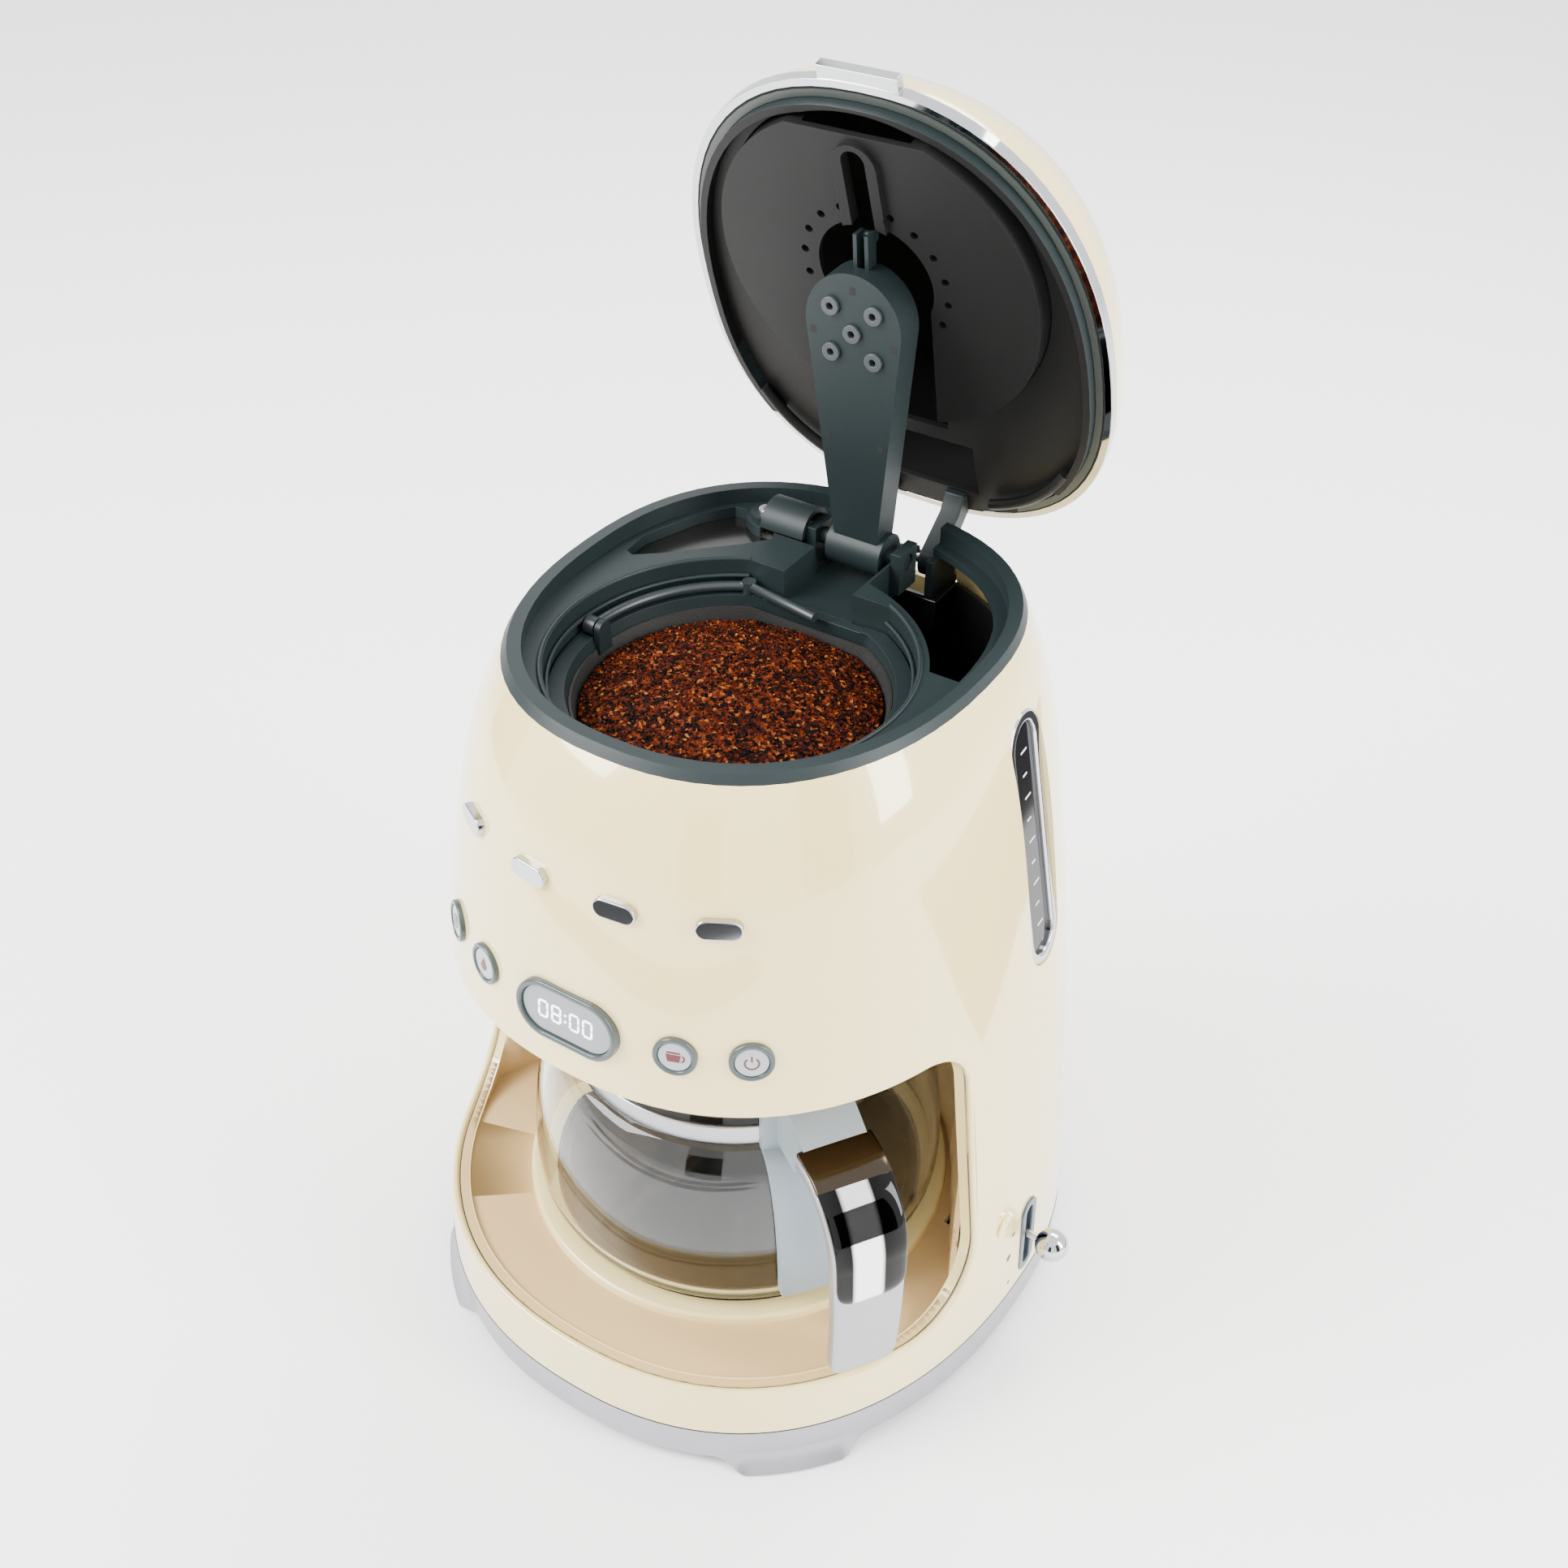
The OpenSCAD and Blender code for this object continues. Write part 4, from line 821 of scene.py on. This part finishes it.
rear_drop = Vector((0, 0, lid_low - 2.6 * MM - rim_height))
for side_name, first, last in (("right", 0.085, 0.190), ("left", 0.310, 0.415)):
    rear_turns = [first + (last - first) * k / 20 for k in range(21)]
    rear_line = [lid_swing @ (plan_point(t, rim_height, 9.0 * MM) + rear_drop) for t in rear_turns]
    bead("lid_rear_roll_" + side_name, rear_line, 2.0 * MM, "lid_liner", charcoal, cyclic=False)
plate_line = lid_line(58.2 * MM, -27.3 * MM, -80.2 * MM, 291.3 * MM, 17)
bead("lid_plate_rim", plate_line, 0.6 * MM, "lid_plate", deep_green, cyclic=False)
from_cad("lid_hinge_arms", deep_green, edge=0.4 * MM)
from_cad("lid_band", chrome, edge=0.7 * MM, sharp=40, segments=3)

# ---- Spray arm ---------------------------------------------------------------
# The dark arm that swings over the filter. Five nozzles sit in its round head, a fork at
# its tip carries the pin, and small slots in its cover take the clips.
from_cad("shower_arm", deep_green, edge=0.7 * MM, segments=3)
nozzle_grey = textured("nozzle_grey", (0.035, 0.042, 0.044), 0.4)
from_cad("spray_nozzles", nozzle_grey, edge=0.4 * MM)
from_cad("arm_fork", deep_green, edge=0.2 * MM)
arm_at = Matrix.Translation((0, 58.5 * MM, 290 * MM)) @ Matrix.Rotation(math.radians(4.3), 4, "X")
# Painted shade: each clip slot is a thin black patch standing on the cover, in place of the dark
# inside of the slot.
slots = bmesh.new()
slot_w, slot_h, slot_face = 1.1 * MM, 1.3 * MM, -4.6 * MM
for x, z in ((0, 99.5), (-15.2, 83), (15.2, 83), (-10.4, 45), (10.4, 45)):
    outline = [(x * MM + a * slot_w, slot_face, z * MM + b * slot_h)
               for a, b in ((-1, -1), (1, -1), (1, 1), (-1, 1))]
    prism(slots, [arm_at @ Vector(p) for p in outline], arm_at.to_3x3() @ Vector((0, -1, 0)),
          0, 0.45 * MM)
bmesh.ops.recalc_face_normals(slots, faces=slots.faces)
slot_painted_shade = textured("slot_painted_shade", (0.004, 0.004, 0.004), 0.8)
piece("arm_clip_slots", slots, "shower_arm", slot_painted_shade, replaces=False)

# ---- Filter holder -----------------------------------------------------------
# A dark cup cut flat at the back, with a woven filter inside, a wire bail round its rim
# and the sprung drip stop in its spout.
from_cad("filter_holder", deep_green, edge=0.5 * MM)
weave = textured("woven_filter", (0.010, 0.010, 0.009), 0.6, grain=1400, bump=0.5, vary=0.15,
                 cloud_scale=900)
from_cad("filter_mesh", weave, edge=0)
bail_plastic = textured("bail_plastic", (0.016, 0.022, 0.024), 0.38, grain=2400, bump=0.1)
from_cad("bail_handle", bail_plastic, edge=0)
from_cad("drip_valve", silicone, edge=0.3 * MM)
spring = from_cad("drip_spring", screw_steel, edge=0)
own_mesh(spring)

# ---- Ground coffee -----------------------------------------------------------
# A heap of coarse grounds: a lumpy body covered in loose grains, red-brown with darker
# and orange flecks.
random.seed(7)
grounds_edge, heap_rise, grounds_r = 271.5 * MM, 9.5 * MM, 51.6 * MM


def heap_height(x, y):
    """Height of the heap's surface at a point, with clumps and small hollows."""
    r = math.hypot(x, y - pot_y) / grounds_r
    rise = max(0.0, 1 - r ** 2.3)
    clump = noise.noise(Vector((x, y, 0)) * 90) * 1.2 * MM
    crumb = noise.noise(Vector((x, y, 0.3)) * 260) * 0.6 * MM
    return grounds_edge + heap_rise * rise + (clump + crumb) * min(1, rise * 4)


coffee = bpy.data.materials.new("coffee_grounds")
coffee.use_nodes = True
nodes, links = coffee.node_tree.nodes, coffee.node_tree.links
shader = nodes["Principled BSDF"]
coords = nodes.new("ShaderNodeTexCoord")
cells = nodes.new("ShaderNodeTexVoronoi")
cells.inputs["Scale"].default_value = 900
links.new(coords.outputs["Object"], cells.inputs["Vector"])
pick = nodes.new("ShaderNodeSeparateColor")
links.new(cells.outputs["Color"], pick.inputs["Color"])
browns = nodes.new("ShaderNodeValToRGB")
browns.color_ramp.interpolation = "CONSTANT"
stops = [(0.0, (0.003, 0.001, 0.0005)), (0.30, (0.018, 0.0022, 0.0006)),
         (0.55, (0.058, 0.0075, 0.0014)), (0.82, (0.12, 0.020, 0.003)), (0.95, (0.26, 0.075, 0.012))]
for k, (at, colour) in enumerate(stops):
    stop = browns.color_ramp.elements[k] if k < 2 else browns.color_ramp.elements.new(at)
    stop.position, stop.color = at, (*colour, 1)
links.new(pick.outputs["Red"], browns.inputs["Fac"])
links.new(browns.outputs["Color"], shader.inputs["Base Color"])
shader.inputs["Roughness"].default_value = 0.6
shader.inputs["Specular IOR Level"].default_value = 0.08
relief = nodes.new("ShaderNodeBump")
relief.inputs["Strength"].default_value = 0.6
relief.inputs["Distance"].default_value = 0.0005
links.new(cells.outputs["Distance"], relief.inputs["Height"])
links.new(relief.outputs["Normal"], shader.inputs["Normal"])

heap_back, heap_foot, foot_share = 20.6 * MM, 262 * MM, 0.9
heap = bmesh.new()
bmesh.ops.create_grid(heap, x_segments=150, y_segments=150, size=grounds_r + 1 * MM)
bmesh.ops.translate(heap, verts=heap.verts, vec=(0, pot_y, 0))
outside = [v for v in heap.verts
           if math.hypot(v.co.x, v.co.y - pot_y) > grounds_r or v.co.y > heap_back]
bmesh.ops.delete(heap, geom=outside, context="VERTS")
for v in heap.verts:
    v.co.z = heap_height(v.co.x, v.co.y)
rim_edges = [e for e in heap.edges if e.is_boundary]
drawn = bmesh.ops.extrude_edge_only(heap, edges=rim_edges)["geom"]
foot = [g for g in drawn if isinstance(g, bmesh.types.BMVert)]
for v in foot:
    v.co = Vector((v.co.x * foot_share, pot_y + (v.co.y - pot_y) * foot_share, heap_foot))
bmesh.ops.holes_fill(heap, edges=[e for e in heap.edges if e.is_boundary], sides=0)
bmesh.ops.recalc_face_normals(heap, faces=heap.faces)
piece("coffee_heap", heap, "coffee_grounds", coffee, sharp=180)

handfuls, handful_size = ((30, 300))
grains = bmesh.new()
for _ in range(handfuls):
    handful = bmesh.new()
    for _ in range(handful_size):
        a, r = random.random() * math.tau, grounds_r * math.sqrt(random.random()) * 0.985
        x, y = r * math.cos(a), pot_y + r * math.sin(a)
        if y > 19.8 * MM:
            continue
        size = (0.35 + 0.45 * random.random() ** 2) * MM
        spin = Matrix.Rotation(random.random() * math.tau, 4,
                               Vector((random.random(), random.random(), 1)))
        shape = Matrix.Diagonal((size, size * random.uniform(0.6, 1.1),
                                 size * random.uniform(0.5, 0.9), 1))
        lift = Matrix.Translation((x, y, heap_height(x, y) + 0.25 * size))
        bmesh.ops.create_icosphere(handful, subdivisions=1, radius=1, matrix=lift @ spin @ shape)
    scoop = bpy.data.meshes.new("handful")
    handful.to_mesh(scoop)
    handful.free()
    grains.from_mesh(scoop)
    bpy.data.meshes.remove(scoop)
piece("coffee_grains", grains, "coffee_grounds", coffee, replaces=False, sharp=20)

# ---- Carafe ------------------------------------------------------------------
# Blown glass with a flat foot and a round belly, a brushed steel band round the neck, a
# grey-blue lid, and a handle on a saddle that hugs the glass.
glass = textured("carafe_glass", (0.93, 0.95, 0.94), 0.0, vary=0.005, Transmission_Weight=1.0,
                 IOR=1.46)
pot_low, belly_z, neck_z, glass_top = 45.6 * MM, 60 * MM, 124 * MM, 143 * MM
foot_r, belly_r, neck_r, glass_wall = 72 * MM, 82.5 * MM, 64.5 * MM, 2.4 * MM


def glass_side(t, steps=16):
    """Outline of the glass from foot to rim, drawn in by t."""
    tight = [(foot_r - t + (belly_r - foot_r) * math.sin(a),
              pot_low + t + (belly_z - pot_low - t) * (1 - math.cos(a)))
             for a in [math.pi / 2 * k / steps for k in range(steps + 1)]]
    long = [(neck_r - t + (belly_r - neck_r) * math.cos(a),
             belly_z + (neck_z - belly_z) * math.sin(a))
            for a in [math.pi / 2 * k / steps for k in range(1, steps + 1)]]
    return tight + long


glass_lip = [(neck_r, glass_top - 1 * MM), (neck_r - 0.8 * MM, glass_top),
             (neck_r - 1.6 * MM, glass_top), (neck_r - glass_wall, glass_top - 1 * MM)]
glass_section = ([(0, pot_low)] + glass_side(0) + glass_lip + glass_side(glass_wall)[::-1]
                 + [(0, pot_low + glass_wall)])
piece("carafe_glass_blown", turned(glass_section, 160), "carafe_glass", glass, sharp=180)
band_steel = textured("band_steel", (0.42, 0.43, 0.46), 0.22, streak=(1, 1, 60), cloud_scale=60,
                      vary=0.06, Metallic=1.0)
from_cad("carafe_band", band_steel, edge=0.5 * MM)
grey_blue = textured("grey_blue_moulding", (0.24, 0.29, 0.32), 0.34, grain=1800, bump=0.06, vary=0.02)
from_cad("carafe_lid", grey_blue, edge=0.8 * MM, segments=3)
from_cad("handle_bracket", grey_blue, edge=0.8 * MM, segments=3)

handle_at = Matrix.Translation((0, pot_y, 0)) @ Matrix.Rotation(math.radians(-34), 4, "Z")
strap_width, strap_bend, strap_end = 26 * MM, Vector((96, 118)) * MM, 53 * MM


def strap_point(turn, ring):
    """Point of the strap: over the shoulder in an arc, then down; a ring is its share of the
    length, the inner and outer distance from the arc's centre, and the width."""
    share, low, high, width, power = ring
    c, n = math.cos(turn * math.tau), math.sin(turn * math.tau)
    across = width / 2 * math.copysign(abs(c) ** (2 / power), c)
    out = (low + high) / 2 + (high - low) / 2 * math.copysign(abs(n) ** (2 / power), n)
    if share < 0.45:
        a = math.radians(101 * (1 - share / 0.45))
        x, z = strap_bend.x + out * math.cos(a), strap_bend.y + out * math.sin(a)
    else:
        k = (share - 0.45) / 0.55
        x = strap_bend.x + out + 1.2 * MM * math.sin(math.pi * k) - 1.5 * MM * k ** 2
        z = strap_bend.y + (strap_end - strap_bend.y) * k
    return handle_at @ Vector((max(x, 91 * MM), across, z))


def rounded_end(start, end, width, low, high, power, steps=10):
    """Rings that round the strap off between two shares of its length."""
    rings = []
    for k in range(1, steps + 1):
        q = 0.995 * math.sin(math.pi / 2 * k / steps)
        thin = (high - low) / 2 * (1 - (1 - q ** 6) ** 0.5)
        narrow = width * (1 - q ** 3.4) ** (1 / 3.4)
        rings.append((start + (end - start) * q, low + thin, high - thin, narrow, power))
    return rings


strap_top, strap_foot = 29.5 * MM, 26 * MM
grip_low, grip_high, insert_low, insert_high = 21 * MM, 27.6 * MM, 26.6 * MM, 29.4 * MM
grip_rings = [(0.90 * k / 60, grip_low, grip_high, strap_top + (strap_foot - strap_top) * k / 60, 7)
              for k in range(61)]
grip_rings += rounded_end(0.90, 1.0, strap_foot, grip_low, grip_high, 7)
piece("handle_grip_shaped", loft(72, grip_rings, strap_point), "handle_grip", satin_silver, sharp=60)
insert_rings = [(0.16 + 0.34 * k / 40, insert_low, insert_high,
                 strap_top - (1.6 + 1.4 * k / 40) * MM, 3.2) for k in range(41)]
insert_rings += rounded_end(0.50, 0.60, strap_top - 3.0 * MM, insert_low, insert_high, 3.2)
# Painted reflection: the insert's colour is black at both edges and white down the middle, in place
# of the dark flags and bright soft boxes that a chrome strap mirrors.
chrome_painted_reflection = textured("chrome_painted_reflection", (0.9, 0.9, 0.9), 0.04, vary=0.01, Metallic=1.0)
nodes, links = chrome_painted_reflection.node_tree.nodes, chrome_painted_reflection.node_tree.links
strap_across = handle_at.to_3x3() @ Vector((0, 1, 0))
strap_side = handle_at @ Vector((0, -0.5 * strap_width, 0))
across = nodes.new("ShaderNodeVectorMath")
across.operation = "DOT_PRODUCT"
across.inputs[1].default_value = [c / strap_width for c in strap_across]
links.new(nodes["Texture Coordinate"].outputs["Object"], across.inputs[0])
shift = nodes.new("ShaderNodeMath")
shift.operation = "SUBTRACT"
shift.inputs[1].default_value = strap_side.dot(strap_across) / strap_width
links.new(across.outputs["Value"], shift.inputs[0])
painted_reflection_bands = nodes.new("ShaderNodeValToRGB")
reflection_tones = ((0.0, 0.02), (0.20, 0.012), (0.26, 0.95), (0.62, 0.95), (0.68, 0.012), (1.0, 0.02))
for k, (at, tone) in enumerate(reflection_tones):
    stop = painted_reflection_bands.color_ramp.elements[k] if k < 2 else painted_reflection_bands.color_ramp.elements.new(at)
    stop.position, stop.color = at, (tone, tone, tone, 1)
links.new(shift.outputs["Value"], painted_reflection_bands.inputs["Fac"])
links.new(painted_reflection_bands.outputs["Color"], nodes["Principled BSDF"].inputs["Base Color"])
piece("handle_insert_shaped", loft(72, insert_rings, strap_point), "handle_insert",
      chrome_painted_reflection, sharp=60)
smoked_chrome = textured("smoked_chrome", (0.055, 0.043, 0.033), 0.16, vary=0.04, Metallic=1.0)
cap_rings = [(0.165 * k / 20, 26.4 * MM, 29.5 * MM, strap_top - 1.2 * MM, 6) for k in range(21)]
piece("handle_cap", loft(72, cap_rings, strap_point), "handle_insert", smoked_chrome,
      replaces=False, sharp=60)
